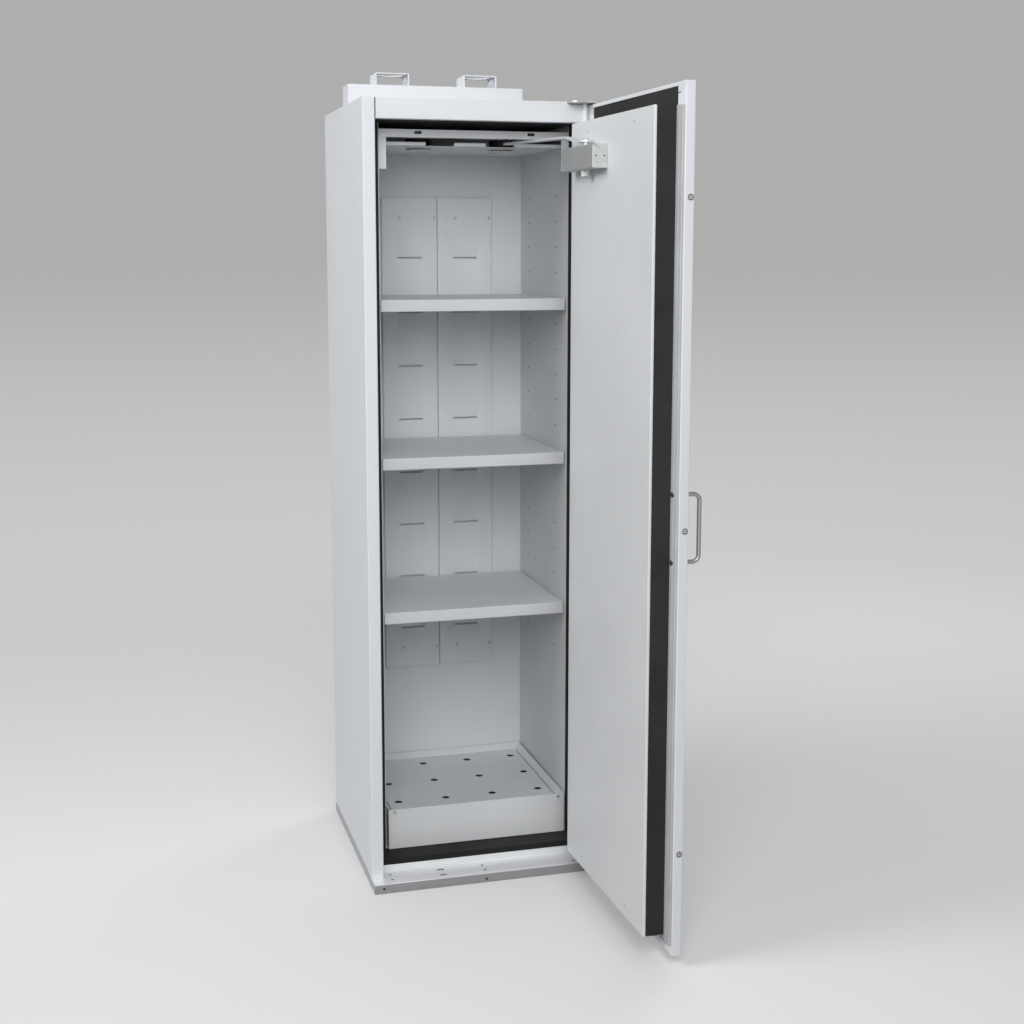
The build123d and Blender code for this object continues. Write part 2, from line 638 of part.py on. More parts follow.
def plenum_box():
    back = PLENUM_FRONT + PLENUM_DEPTH
    box = block(PLENUM_LEFT, PLENUM_RIGHT, PLENUM_FRONT, back, BODY_TOP, PLENUM_TOP)
    box = fillet(box.edges().filter_by(Axis.Z), BEND)
    box -= block(PLENUM_LEFT + SHEET, PLENUM_RIGHT - SHEET, PLENUM_FRONT + SHEET, back - SHEET,
                 BODY_TOP - OVERRUN, PLENUM_TOP - SHEET)
    for x in DUCT_XS:
        box -= rod(x, DUCT_Y, PLENUM_TOP - SHEET - OVERRUN, PLENUM_TOP + OVERRUN, DUCT_BORE_RADIUS)
    return box


def duct_bracket(x):
    half = BRACKET_WIDTH / 2
    top = PLENUM_TOP + BRACKET_HEIGHT
    start = PLENUM_FRONT + SEAM
    depth = PLENUM_DEPTH - 2 * SEAM
    path = [(x - half, -PLENUM_TOP), (x - half, -top), (x + half, -top), (x + half, -PLENUM_TOP)]
    plane = Plane(origin=(0, start, 0), x_dir=(1, 0, 0), z_dir=(0, 1, 0))
    bracket = folded(path, plane, depth, BRACKET_SHEET, BRACKET_BEND)
    return bracket - rod(x, DUCT_Y, top - BRACKET_SHEET - OVERRUN, top + OVERRUN, DUCT_BORE_RADIUS)


# Ceiling frame and guide rail
def frame_slot(x):
    """The window through the frame's front strip and the rail behind it."""
    top = FRAME_TOP - HEAVY_SHEET
    return block(x - FRAME_SLOT_LENGTH / 2, x + FRAME_SLOT_LENGTH / 2, FRAME_FRONT - OVERRUN,
                 REBATE_BACK + HEAVY_SHEET + SEAM, top - FRAME_SLOT_HEIGHT, top)


def ceiling_frame():
    back = REBATE_BACK
    strip = block(-CAVITY, CAVITY, FRAME_FRONT, back, FRAME_BOTTOM, FRAME_TOP)
    for x in (-FRAME_SLOT_X, FRAME_SLOT_X):
        strip -= frame_slot(x)
    shelf_over_rail = block(-CAVITY, CAVITY, FRAME_FRONT, back + FRAME_FLANGE, FRAME_TOP,
                            FRAME_TOP + HEAVY_SHEET)
    leg = block(FRAME_INNER, CAVITY, FRAME_FRONT, back, FRAME_LEG_BOTTOM, FRAME_BOTTOM)
    ear = block(CAVITY - HEAVY_SHEET, CAVITY, FRAME_FRONT, back + FRAME_FLANGE, FRAME_LEG_BOTTOM,
                FRAME_TOP)
    return strip + shelf_over_rail + leg + ear + mirrored(leg) + mirrored(ear)


def closer_rail():
    start = REBATE_BACK
    end = REBATE_BACK + RAIL_WIDTH
    rail = block(-RAIL_HALF, RAIL_HALF, start, end, FRAME_BOTTOM, FRAME_TOP)
    rail -= block(-RAIL_HALF - OVERRUN, RAIL_HALF + OVERRUN, start + HEAVY_SHEET, end - HEAVY_SHEET,
                  FRAME_BOTTOM + HEAVY_SHEET, FRAME_TOP - HEAVY_SHEET)
    for x in (-FRAME_SLOT_X, FRAME_SLOT_X):
        rail -= frame_slot(x)
    lip = HEAVY_SHEET + RAIL_LIP
    return rail - block(-RAIL_HALF - OVERRUN, RAIL_HALF + OVERRUN, start + lip, end - lip,
                        FRAME_BOTTOM - OVERRUN, FRAME_BOTTOM + HEAVY_SHEET + OVERRUN)


def rail_shoe():
    side = RAIL_WIDTH / 2 - HEAVY_SHEET - LOOSE_FIT
    under = FRAME_BOTTOM + HEAVY_SHEET + SEAT_GAP
    over = FRAME_TOP - HEAVY_SHEET - LOOSE_FIT
    body = block(SHOE_OPEN_X - SHOE_LENGTH / 2, SHOE_OPEN_X + SHOE_LENGTH / 2, RAIL_Y - side,
                 RAIL_Y + side, under, over)
    pin = rod(SHOE_OPEN_X, RAIL_Y, ARM_TOP + SEAT_GAP, under, SHOE_PIN_RADIUS)
    return body + pin


# Pivot hinges
def upper_hinge_plate():
    nose = PIVOT_Y - HINGE_PLATE_NOSE
    plate = block(HINGE_PLATE_LEFT, HINGE_PLATE_RIGHT, nose, HINGE_PLATE_BACK, HINGE_UNDER, BODY_TOP)
    front_edges = plate.edges().filter_by(Axis.Z).group_by(Axis.Y)[0]
    plate = fillet(front_edges, HINGE_PLATE_NOSE - SEAM)
    return plate - rod(PIVOT_X, PIVOT_Y, HINGE_UNDER - OVERRUN, BODY_TOP + OVERRUN,
                       PIN_RADIUS + RUNNING_FIT)


def upper_hinge_pin():
    return rod(PIVOT_X, PIVOT_Y, BODY_TOP - PIN_LENGTH, BODY_TOP, PIN_RADIUS)


def hinge_sleeve():
    return rod(PIVOT_X - SLEEVE_INSET, BODY_FRONT - SEAT_GAP - SLEEVE_RADIUS, FASCIA_BOTTOM, HINGE_UNDER,
               SLEEVE_RADIUS)


def lower_hinge_pin():
    flange = rod(PIVOT_X, PIVOT_Y, SILL_TOP, SILL_TOP + PIN_FLANGE, PIN_FLANGE_RADIUS)
    return flange + rod(PIVOT_X, PIVOT_Y, SILL_TOP, SILL_TOP + PIN_LENGTH, PIN_RADIUS)


def hinge_washers():
    washers = []
    for low, high in ((PAN_TOP + SEAT_GAP, HINGE_UNDER),
                      (SILL_TOP + PIN_FLANGE, PAN_BOTTOM - SEAT_GAP)):
        ring = rod(PIVOT_X, PIVOT_Y, low, high, PIN_FLANGE_RADIUS)
        washers.append(ring - rod(PIVOT_X, PIVOT_Y, low - OVERRUN, high + OVERRUN,
                                  PIN_RADIUS + RUNNING_FIT))
    return grouped(washers)


def hinge_block(low):
    body = block(HINGE_BLOCK_LEFT, HINGE_BLOCK_RIGHT, PAN_OUTER + SHEET, CORE_FACE, low,
                 low + HINGE_BLOCK_HEIGHT)
    return body - rod(PIVOT_X, PIVOT_Y, low - OVERRUN, low + HINGE_BLOCK_HEIGHT + OVERRUN,
                      PIN_RADIUS + RUNNING_FIT)


# Door leaf, drawn closed
def door_pan():
    pan = block(PAN_LEFT, PAN_RIGHT, PAN_OUTER, PAN_INNER, PAN_BOTTOM, PAN_TOP)
    pan = fillet(pan.edges().filter_by(Axis.Z), PAN_CORNER - SEAT_GAP)
    pan -= block(PAN_LEFT + SHEET, PAN_RIGHT - SHEET, PAN_OUTER + SHEET, CORE_FACE,
                 PAN_BOTTOM + SHEET, PAN_TOP - SHEET)
    pan -= block(PLUG_LEFT - SEAM, PLUG_RIGHT + SEAM, CORE_FACE - OVERRUN, PAN_INNER + OVERRUN,
                 PLUG_BOTTOM - SEAM, PAN_TOP - PAN_TOP_LIP)
    for start, end in ((PLUG_LEFT - SEAM - CORNER_SLIT_LENGTH, PLUG_LEFT),
                       (PLUG_RIGHT, PLUG_RIGHT + SEAM + CORNER_SLIT_LENGTH)):
        height = PAN_TOP - CORNER_SLIT_DROP
        pan -= block(start, end, CORE_FACE - SEAM, PAN_INNER + OVERRUN, height - CORNER_SLIT_WIDTH / 2,
                     height + CORNER_SLIT_WIDTH / 2)
    slit_left = PAN_LEFT + SLIT_SETBACK
    pan -= block(slit_left, slit_left + SLIT_LENGTH, CORE_FACE - SEAM, PAN_INNER + OVERRUN,
                 SLIT_HEIGHT - SLIT_WIDTH / 2, SLIT_HEIGHT + SLIT_WIDTH / 2)
    pan -= rod(PIVOT_X, PIVOT_Y, PAN_BOTTOM - OVERRUN, PAN_TOP + OVERRUN, PIN_RADIUS + LOOSE_FIT)
    for z in HANDLE_HEIGHTS:
        pan -= rod_along_y(HANDLE_X, z, PAN_OUTER - OVERRUN, PAN_INNER + OVERRUN,
                           HANDLE_BOLT_RADIUS + RUNNING_FIT)
    for z in EDGE_SCREW_HEIGHTS:
        pan -= rod_along_x(PAN_OUTER + EDGE_SCREW_SETBACK, z, PAN_LEFT - OVERRUN,
                           PAN_LEFT + SHEET, EDGE_SCREW_RADIUS + RUNNING_FIT)
    return pan


def door_core():
    core = block(PAN_LEFT + SHEET, PAN_RIGHT - SHEET, PAN_OUTER + SHEET, CORE_FACE,
                 PAN_BOTTOM + SHEET, PAN_TOP - SHEET)
    for low in (PAN_BOTTOM + SHEET, PAN_TOP - SHEET - HINGE_BLOCK_HEIGHT):
        core -= block(HINGE_BLOCK_LEFT, HINGE_BLOCK_RIGHT + OVERRUN, PAN_OUTER, PAN_INNER, low,
                      low + HINGE_BLOCK_HEIGHT)
    for z in HANDLE_HEIGHTS:
        core -= rod_along_y(HANDLE_X, z, PAN_OUTER, PAN_INNER, HANDLE_BOLT_RADIUS + RUNNING_FIT)
    return core


def plug_band(grow, start, end):
    """A frame round the plug's four sides, from its side face out by grow, between two depths."""
    outer = block(PLUG_LEFT - grow, PLUG_RIGHT + grow, start, end, PLUG_BOTTOM - grow,
                  PLUG_TOP + grow)
    inner = block(PLUG_LEFT + STRIP_DEPTH, PLUG_RIGHT - STRIP_DEPTH, start - OVERRUN,
                  end + OVERRUN, PLUG_BOTTOM + STRIP_DEPTH, PLUG_TOP - STRIP_DEPTH)
    return outer - inner


def door_plug():
    plug = block(PLUG_LEFT, PLUG_RIGHT, CORE_FACE, PLUG_FACE, PLUG_BOTTOM, PLUG_TOP)
    start = CORE_FACE + STRIP_SETBACK
    return plug - plug_band(OVERRUN, start, start + STRIP_WIDTH) - door_inner_panel()


def plug_strip():
    start = CORE_FACE + STRIP_SETBACK
    return plug_band(LOOSE_FIT, start, start + STRIP_WIDTH)


def door_inner_panel():
    start = PLUG_FACE - PANEL_RETURN
    panel = block(PLUG_LEFT, PLUG_RIGHT, start, DOOR_FACE, PLUG_BOTTOM, PLUG_TOP)
    return panel - block(PLUG_LEFT + SHEET, PLUG_RIGHT - SHEET, start - OVERRUN, PLUG_FACE,
                         PLUG_BOTTOM + SHEET, PLUG_TOP - SHEET)


def door_seal():
    left = PLUG_LEFT - SEAM
    right = PLUG_RIGHT + SEAM
    low = PLUG_BOTTOM - SEAM
    high = PLUG_TOP
    seal = block(left - SEAL_WIDTH, right + SEAL_WIDTH, PAN_INNER, PAN_INNER + SEAL_HEIGHT,
                 low - SEAL_WIDTH, high)
    seal -= block(left, right, PAN_INNER - OVERRUN, PAN_INNER + SEAL_HEIGHT + OVERRUN, low,
                  high + OVERRUN)
    for z in HANDLE_HEIGHTS:
        seal -= rod_along_y(HANDLE_X, z, PAN_INNER - OVERRUN, PAN_INNER + SEAL_HEIGHT + OVERRUN,
                            HANDLE_CAP_RADIUS + SEAT_GAP)
    return seal


def door_handle():
    low, high = HANDLE_HEIGHTS
    grip = PAN_OUTER - HANDLE_REACH
    path = FilletPolyline((HANDLE_X, PAN_OUTER, low), (HANDLE_X, grip, low),
                          (HANDLE_X, grip, high), (HANDLE_X, PAN_OUTER, high), radius=HANDLE_BEND)
    start = Plane(origin=(HANDLE_X, PAN_OUTER, low), z_dir=(0, -1, 0))
    return sweep(start * Circle(HANDLE_RADIUS), path=path)


def handle_bolts():
    bolts = []
    for z in HANDLE_HEIGHTS:
        shank = rod_along_y(HANDLE_X, z, PAN_OUTER, PAN_INNER, HANDLE_BOLT_RADIUS)
        cap = rod_along_y(HANDLE_X, z, PAN_INNER, PAN_INNER + HANDLE_CAP_HEIGHT, HANDLE_CAP_RADIUS)
        outer_rim = cap.edges().filter_by(GeomType.CIRCLE).sort_by(Axis.Y)[-1]
        bolts.append(shank + chamfer(outer_rim, HANDLE_CAP_HEIGHT / 2))
    return grouped(bolts)


def edge_screws():
    screws = []
    for z in EDGE_SCREW_HEIGHTS:
        screws.append(rod_along_x(PAN_OUTER + EDGE_SCREW_SETBACK, z, PAN_LEFT - EDGE_SCREW_PROUD,
                                  PAN_LEFT + SHEET, EDGE_SCREW_RADIUS))
    return grouped(screws)


# Door closer on the leaf, drawn closed
def closer_body():
    body = block(CLOSER_LEFT, CLOSER_RIGHT, DOOR_FACE, CLOSER_FRONT, CLOSER_BOTTOM, CLOSER_TOP)
    front_edges = body.edges().filter_by(Axis.X).group_by(Axis.Y)[-1]
    body = fillet(front_edges, CLOSER_EDGE)
    body -= rod(SPINDLE_X, SPINDLE_Y, CLOSER_BOTTOM - OVERRUN, CLOSER_TOP + OVERRUN,
                SPINDLE_RADIUS + RUNNING_FIT)
    middle = CLOSER_BOTTOM + CLOSER_HEIGHT / 2
    return body - rod_along_x(SPINDLE_Y, middle, CLOSER_LEFT - OVERRUN, CLOSER_LEFT + END_PLUG_SEAT,
                              END_PLUG_RADIUS + RUNNING_FIT)


def closer_end_plug():
    middle = CLOSER_BOTTOM + CLOSER_HEIGHT / 2
    face = CLOSER_LEFT - END_PLUG_PROUD
    plug = rod_along_x(SPINDLE_Y, middle, face, CLOSER_LEFT + END_PLUG_SEAT, END_PLUG_RADIUS)
    for side in (-1, 1):
        plug -= rod_along_x(SPINDLE_Y + side * END_PLUG_PIN_PITCH / 2, middle, face - OVERRUN,
                            CLOSER_LEFT, END_PLUG_PIN_RADIUS)
    return plug


def spindle_cover():
    under = CLOSER_BOTTOM - SPINDLE_COVER_HEIGHT
    cup = rod(SPINDLE_X, SPINDLE_Y, under, CLOSER_BOTTOM, SPINDLE_COVER_RADIUS)
    return cup - rod(SPINDLE_X, SPINDLE_Y, under + SPINDLE_COVER_WALL, CLOSER_BOTTOM + OVERRUN,
                     SPINDLE_COVER_RADIUS - SPINDLE_COVER_WALL)


# Closer arm, drawn along X from the spindle and then turned to its open place
def placed_arm(part):
    return Pos(SPINDLE_OPEN[0], SPINDLE_OPEN[1], 0) * Rot(0, 0, ARM_OPEN_ANGLE) * part


def closer_arm():
    crank_start = ARM_LENGTH * ARM_CRANK_START_SHARE
    crank_end = ARM_LENGTH * ARM_CRANK_END_SHARE
    hub_middle = ARM_HUB_BOTTOM + ARM_THICKNESS / 2
    arm_middle = ARM_BOTTOM + ARM_THICKNESS / 2
    bend = FilletPolyline((-ARM_HUB_RADIUS, hub_middle), (crank_start, hub_middle),
                          (crank_end, arm_middle), (ARM_LENGTH + ARM_EYE_RADIUS, arm_middle),
                          radius=ARM_BEND)
    side = Plane(origin=(0, ARM_HUB_RADIUS, 0), x_dir=(1, 0, 0), z_dir=(0, -1, 0))
    bar = extrude(side * trace(bend, ARM_THICKNESS), amount=2 * ARM_HUB_RADIUS)
    outline = Circle(ARM_HUB_RADIUS) + Pos(ARM_LENGTH, 0) * Circle(ARM_EYE_RADIUS)
    outline += make_face(Polyline((0, -ARM_HUB_RADIUS), (ARM_LENGTH, -ARM_EYE_RADIUS),
                                  (ARM_LENGTH, ARM_EYE_RADIUS), (0, ARM_HUB_RADIUS), close=True))
    plan = extrude(from_above(ARM_HUB_BOTTOM - OVERRUN) * outline,
                   amount=ARM_CRANK + ARM_THICKNESS + 2 * OVERRUN)
    arm = bar & plan
    return arm - rod(0, 0, ARM_HUB_BOTTOM - OVERRUN, ARM_TOP + OVERRUN,
                     SPINDLE_RADIUS + RUNNING_FIT)


def closer_spindle():
    under = CLOSER_BOTTOM - SPINDLE_COVER_HEIGHT + SPINDLE_COVER_WALL + SEAT_GAP
    return rod(0, 0, under, ARM_HUB_BOTTOM + ARM_THICKNESS, SPINDLE_RADIUS)


def arm_screw():
    low = ARM_HUB_BOTTOM + ARM_THICKNESS
    head = rod(0, 0, low, low + ARM_SCREW_HEIGHT, ARM_SCREW_RADIUS + SHEET)
    rim = head.edges().filter_by(GeomType.CIRCLE).sort_by(Axis.Z)[-1]
    head = chamfer(rim, ARM_SCREW_HEIGHT / 3)
    key = extrude(from_above(low + ARM_SCREW_HEIGHT / 2) * RegularPolygon(ARM_SCREW_RADIUS / 2, 6),
                  amount=ARM_SCREW_HEIGHT)
    return head - key


def all_parts():
    """Every piece of the cabinet by name, at rest with the door open."""
    room = hinge_plate_room()
    right_panel = side_panel_right()
    parts = {
        "base_tray": base_tray(),
        "sill_plate": sill_plate(),
        "side_panel_left": mirrored(right_panel),
        "side_panel_right": right_panel - room,
        "rear_panel": rear_panel(),
        "top_panel": top_panel(),
        "front_fascia": front_fascia(),
        "insulation_left": mirrored(insulation_right()),
        "insulation_right": insulation_right(),
        "insulation_rear": insulation_rear(),
        "insulation_floor": insulation_floor(),
        "insulation_top": insulation_top(),
        "rebate_left": mirrored(rebate_right()),
        "rebate_right": rebate_right() - room,
        "rebate_top": rebate_top() - room,
        "rebate_bottom": rebate_bottom(),
        "liner_left": mirrored(liner_right()),
        "liner_right": liner_right(),
        "liner_rear": liner_rear(),
        "liner_floor": liner_floor(),
        "liner_ceiling": liner_ceiling(),
        "duct_cover_left": mirrored(duct_cover_right()),
        "duct_cover_right": duct_cover_right(),
        "shelf_clips": shelf_clips(),
        "sump_tray": sump_tray(),
        "sump_insert": sump_insert(),
        "vent_valve_left": mirrored(vent_valve_right()),
        "vent_valve_right": vent_valve_right(),
        "plenum_box": plenum_box(),
        "duct_bracket_left": duct_bracket(DUCT_XS[0]),
        "duct_bracket_right": duct_bracket(DUCT_XS[1]),
        "ceiling_frame": ceiling_frame(),
        "closer_rail": closer_rail(),
        "rail_shoe": rail_shoe(),
        "upper_hinge_plate": upper_hinge_plate(),
        "upper_hinge_pin": upper_hinge_pin(),
        "hinge_sleeve": hinge_sleeve(),
        "lower_hinge_pin": lower_hinge_pin(),
        "hinge_washers": hinge_washers(),
        "closer_arm": placed_arm(closer_arm()),
        "closer_spindle": placed_arm(closer_spindle()),
        "arm_screw": placed_arm(arm_screw()),
    }
    for index, name in enumerate(("shelf_top", "shelf_middle", "shelf_bottom")):
        parts[name] = shelf(index)
    door = {
        "door_pan": door_pan(),
        "door_core": door_core(),
        "door_plug": door_plug(),
        "plug_strip": plug_strip(),
        "door_inner_panel": door_inner_panel(),
        "door_seal": door_seal(),
        "door_handle": door_handle(),
        "handle_bolts": handle_bolts(),
        "edge_screws": edge_screws(),
        "hinge_block_upper": hinge_block(PAN_TOP - SHEET - HINGE_BLOCK_HEIGHT),
        "hinge_block_lower": hinge_block(PAN_BOTTOM + SHEET),
        "closer_body": closer_body(),
        "closer_end_plug": closer_end_plug(),
        "spindle_cover": spindle_cover(),
    }
    for name, part in door.items():
        parts[name] = opened(part)
    return parts


def main():
    os.makedirs("parts", exist_ok=True)
    for name, part in all_parts().items():
        export_step(part, os.path.join("parts", name + ".step"))
    print("arm length", round(ARM_LENGTH, 3), "spindle open", [round(v, 3) for v in SPINDLE_OPEN])
    print("shoe travel", round(SHOE_CLOSED_X - SHOE_OPEN_X, 3), "arm turn",
          round(ARM_CLOSED_ANGLE - ARM_OPEN_ANGLE, 3))


main()
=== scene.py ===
# %% [markdown]
# # A safety cabinet for flammable liquids
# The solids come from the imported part. This lesson gives them paint, steel and board finishes,
# softens the edges of the folded sheet, adds the small fasteners and takes the portrait.
# The frame is loaded first, because every place below is measured from it.

# %% Load the frame
import json
import math
import bmesh
import bpy
from mathutils import Euler, Matrix, Vector


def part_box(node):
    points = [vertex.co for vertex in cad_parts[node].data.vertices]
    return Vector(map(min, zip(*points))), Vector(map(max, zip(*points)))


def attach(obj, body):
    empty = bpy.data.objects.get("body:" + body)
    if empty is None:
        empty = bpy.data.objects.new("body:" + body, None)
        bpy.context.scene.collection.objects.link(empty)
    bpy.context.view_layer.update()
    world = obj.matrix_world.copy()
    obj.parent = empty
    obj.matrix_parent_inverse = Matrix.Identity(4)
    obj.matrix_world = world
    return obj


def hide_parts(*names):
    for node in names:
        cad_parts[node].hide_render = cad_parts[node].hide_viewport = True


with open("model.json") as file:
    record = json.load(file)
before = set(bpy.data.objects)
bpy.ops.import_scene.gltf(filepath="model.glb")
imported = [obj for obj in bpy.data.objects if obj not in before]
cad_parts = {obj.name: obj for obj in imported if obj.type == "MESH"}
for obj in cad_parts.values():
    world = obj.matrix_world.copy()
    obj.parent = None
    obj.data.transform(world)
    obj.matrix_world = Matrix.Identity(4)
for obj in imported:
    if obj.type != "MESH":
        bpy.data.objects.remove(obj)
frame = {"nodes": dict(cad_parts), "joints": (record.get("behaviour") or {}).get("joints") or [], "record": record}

scene = bpy.context.scene
nodes = frame["nodes"]
record = frame["record"]
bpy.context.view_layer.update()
slot_of = {part["node"]: part["material_slot"] for part in record["subparts"]}
body_of = {name: body for body, names in record["behaviour"]["bodies"].items() for name in names}

# %% [markdown]
# ## The door's pivot
# The door stands open at rest, so a detail on it is easier to place with the door thought shut.
# One matrix turns such a place to where it is now. It is read from the joint, so it follows the part.

# %% From the shut door to the open door
swing = next(joint for joint in frame["joints"] if joint["name"] == "door_swing")
pivot = Vector((swing["pos_m"][0], swing["pos_m"][1], 0))
open_turn = math.radians(-swing["range_deg"][0])
to_open = Matrix.Translation(pivot) @ Matrix.Rotation(open_turn, 4, "Z") @ Matrix.Translation(-pivot)
to_shut = to_open.inverted()


def shut_box(name):
    """The low and the high corner of a door node with the door shut."""
    points = [to_shut @ vert.co for vert in nodes[name].data.vertices]
    return (Vector([min(point[i] for point in points) for i in range(3)]),
            Vector([max(point[i] for point in points) for i in range(3)]))


pan_low, pan_high = shut_box("door_pan")
panel_low, panel_high = shut_box("door_inner_panel")
print("shut door:", [round(v, 4) for v in pan_low], [round(v, 4) for v in pan_high])

# %% [markdown]
# ## Node materials
# A finish is a small node tree. A few helpers keep the trees short: they add a node with its
# socket values, do sums, and make the common start, a Principled shader fed by the object's own
# coordinates. Object coordinates are used because they stay with the piece when it moves.

# %% Helpers for node trees
def feed(tree, socket, value):
    """Links a socket to another node's output, or gives it a plain value."""
    if isinstance(value, bpy.types.NodeSocket):
        tree.links.new(value, socket)
    else:
        socket.default_value = value


def add_node(tree, kind, settings=None, **sockets):
    """A node with its settings, and with values or links for the sockets that are named."""
    node = tree.nodes.new(kind)
    for name, value in (settings or {}).items():
        setattr(node, name, value)
    for name, value in sockets.items():
        label = name.replace("_", " ").lower()
        feed(tree, next(s for s in node.inputs if s.name.lower() == label and s.enabled), value)
    return node


def maths(tree, operation, *values):
    """The result of a Math node on numbers or other nodes' outputs."""
    node = add_node(tree, "ShaderNodeMath", {"operation": operation})
    for socket, value in zip(node.inputs, values):
        feed(tree, socket, value)
    return node.outputs[0]


def new_finish(name, roughness, metallic=0.0):
    """A material with a Principled shader, and the object coordinates that its patterns read."""
    material = bpy.data.materials.new(name)
    material.use_nodes = True
    tree = material.node_tree
    shader = next(node for node in tree.nodes if node.type == "BSDF_PRINCIPLED")
    shader.inputs["Roughness"].default_value = roughness
    shader.inputs["Metallic"].default_value = metallic
    place = add_node(tree, "ShaderNodeTexCoord").outputs["Object"]
    return material, tree, shader, place


# %% [markdown]
# ## Patterns
# Paint, board and metal differ mostly in the size and the direction of their pattern.
# One noise does for all: it is spread to a range of tones, to a range of roughness or to fine relief.

# %% Helpers for patterns
NOISE_LOW, NOISE_HIGH = 0.3, 0.7
SOFT_DETAIL, FINE_DETAIL = 3.0, 2.0


def noise(tree, place, scale, detail=SOFT_DETAIL, stretch=None):
    """Soft noise of a given size, in repeats per metre, stretched along the axes where asked."""
    if stretch:
        place = add_node(tree, "ShaderNodeMapping", Vector=place, Scale=stretch).outputs["Vector"]
    return add_node(tree, "ShaderNodeTexNoise", Vector=place, Scale=scale, Detail=detail).outputs["Fac"]


def between(tree, pattern, low, high):
    """Turns a pattern into values between low and high."""
    return add_node(tree, "ShaderNodeMapRange", Value=pattern, From_Min=NOISE_LOW, From_Max=NOISE_HIGH,
                    To_Min=low, To_Max=high).outputs["Result"]


def two_tone(tree, pattern, dark, light):
    """Turns a pattern into a colour between two tones."""
    ramp = add_node(tree, "ShaderNodeValToRGB", Fac=pattern)
    stops = zip(ramp.color_ramp.elements, (NOISE_LOW, NOISE_HIGH), (dark, light))
    for stop, position, tone in stops:
        stop.position = position
        stop.color = (*tone, 1)
    return ramp.outputs["Color"]


def relief(tree, shader, pattern, strength, height):
    """Fine relief from a pattern, by the shader's normal."""
    bump = add_node(tree, "ShaderNodeBump", Strength=strength, Distance=height, Height=pattern)
    feed(tree, shader.inputs["Normal"], bump.outputs["Normal"])


# %% [markdown]
# ## Powder coat
# The sheet metal is powder coated: baked plastic dust that flows into a faint orange peel.
# A flat colour would look like paper, so fine noise gives the peel and broad noise a slight
# change of tone.

# %% Powder coats
COAT_ROUGHNESS = (0.42, 0.46)
CLOUD_SCALE, PEEL_SCALE = 3.0, 420.0
PEEL_SHARE = 0.35
PEEL_STRENGTH, PEEL_HEIGHT = 0.05, 0.0006


def powder_coat(name, dark, light):
    """Baked paint between two close tones, with a faint orange peel."""
    material, tree, shader, place = new_finish(name, COAT_ROUGHNESS[0])
    cloud = noise(tree, place, CLOUD_SCALE)
    peel = noise(tree, place, PEEL_SCALE, FINE_DETAIL)
    speckle = maths(tree, "MULTIPLY_ADD", peel, PEEL_SHARE, -PEEL_SHARE / 2)
    tone = maths(tree, "ADD", cloud, speckle)
    feed(tree, shader.inputs["Base Color"], two_tone(tree, tone, dark, light))
    feed(tree, shader.inputs["Roughness"], between(tree, cloud, *COAT_ROUGHNESS))
    relief(tree, shader, peel, PEEL_STRENGTH, PEEL_HEIGHT)
    return material


finishes = {
    "white_coat": powder_coat("white_powder_coat", (0.753, 0.776, 0.810), (0.777, 0.798, 0.832)),
    "inner_coat": powder_coat("lining_powder_coat", (0.66, 0.675, 0.69), (0.71, 0.725, 0.74)),
    "base_coat": powder_coat("base_powder_coat", (0.42, 0.43, 0.44), (0.47, 0.48, 0.49)),
}
print("powder coats:", list(finishes))

# %% [markdown]
# ## Fire board, seal and plastics
# The boards are pressed mineral fibre with a black sealer: matt, a little blotchy and rough to the touch.
# Seal strip, caps and valves are plastics, each with its own fine grain. They share one recipe,
# because only the tones, the gloss and the size of the grain differ.

# %% Boards, seal and plastics
DULL_SPECULAR = 0.3
BLOTCH_SCALE, BLOTCH_DETAIL = 9.0, 5.0
BLOTCH_GLOSS = 0.05
GRAIN_STRENGTH = 0.35


def grained(name, dark, light, roughness, grain, depth):
    """A dull, blotchy finish with a grain in repeats per metre and its depth in metres."""
    material, tree, shader, place = new_finish(name, roughness)
    shader.inputs["Specular IOR Level"].default_value = DULL_SPECULAR
    blotch = noise(tree, place, BLOTCH_SCALE, BLOTCH_DETAIL)
    gloss = between(tree, blotch, roughness - BLOTCH_GLOSS, roughness + BLOTCH_GLOSS)
    feed(tree, shader.inputs["Base Color"], two_tone(tree, blotch, dark, light))
    feed(tree, shader.inputs["Roughness"], gloss)
    relief(tree, shader, noise(tree, place, grain), GRAIN_STRENGTH, depth)
    return material


VALVE_PLASTIC = {"dark": (0.70, 0.71, 0.71), "light": (0.76, 0.77, 0.77),
                 "roughness": 0.45, "grain": 700.0, "depth": 0.0002}
finishes["fire_board"] = grained("black_fire_board", (0.019, 0.020, 0.019), (0.034, 0.035, 0.033),
                                 roughness=0.85, grain=260.0, depth=0.0008)
finishes["seal"] = grained("grey_seal_strip", (0.45, 0.46, 0.47), (0.52, 0.53, 0.54),
                           roughness=0.75, grain=500.0, depth=0.0004)
finishes["black_cap"] = grained("black_cap_plastic", (0.020, 0.020, 0.021), (0.032, 0.032, 0.033),
                                roughness=0.5, grain=900.0, depth=0.0002)
finishes["valve_plastic"] = grained("white_valve_plastic", **VALVE_PLASTIC)
print("with boards and plastics:", len(finishes), "finishes")

# %% [markdown]
# ## Brushed steel
# The sill is rolled steel brushed along its length, so its pattern is noise drawn out along X.
# The handle is brushed along its bow, which stands upright. A stretched noise is enough here:
# real grooves would be far thinner than a pixel.

# %% Brushed metal
BRUSH_DETAIL, BRUSH_STRENGTH, BRUSH_DEPTH = 4.0, 0.25, 0.00025
BRUSH_SMOOTHER, BRUSH_ROUGHER = 0.07, 0.09


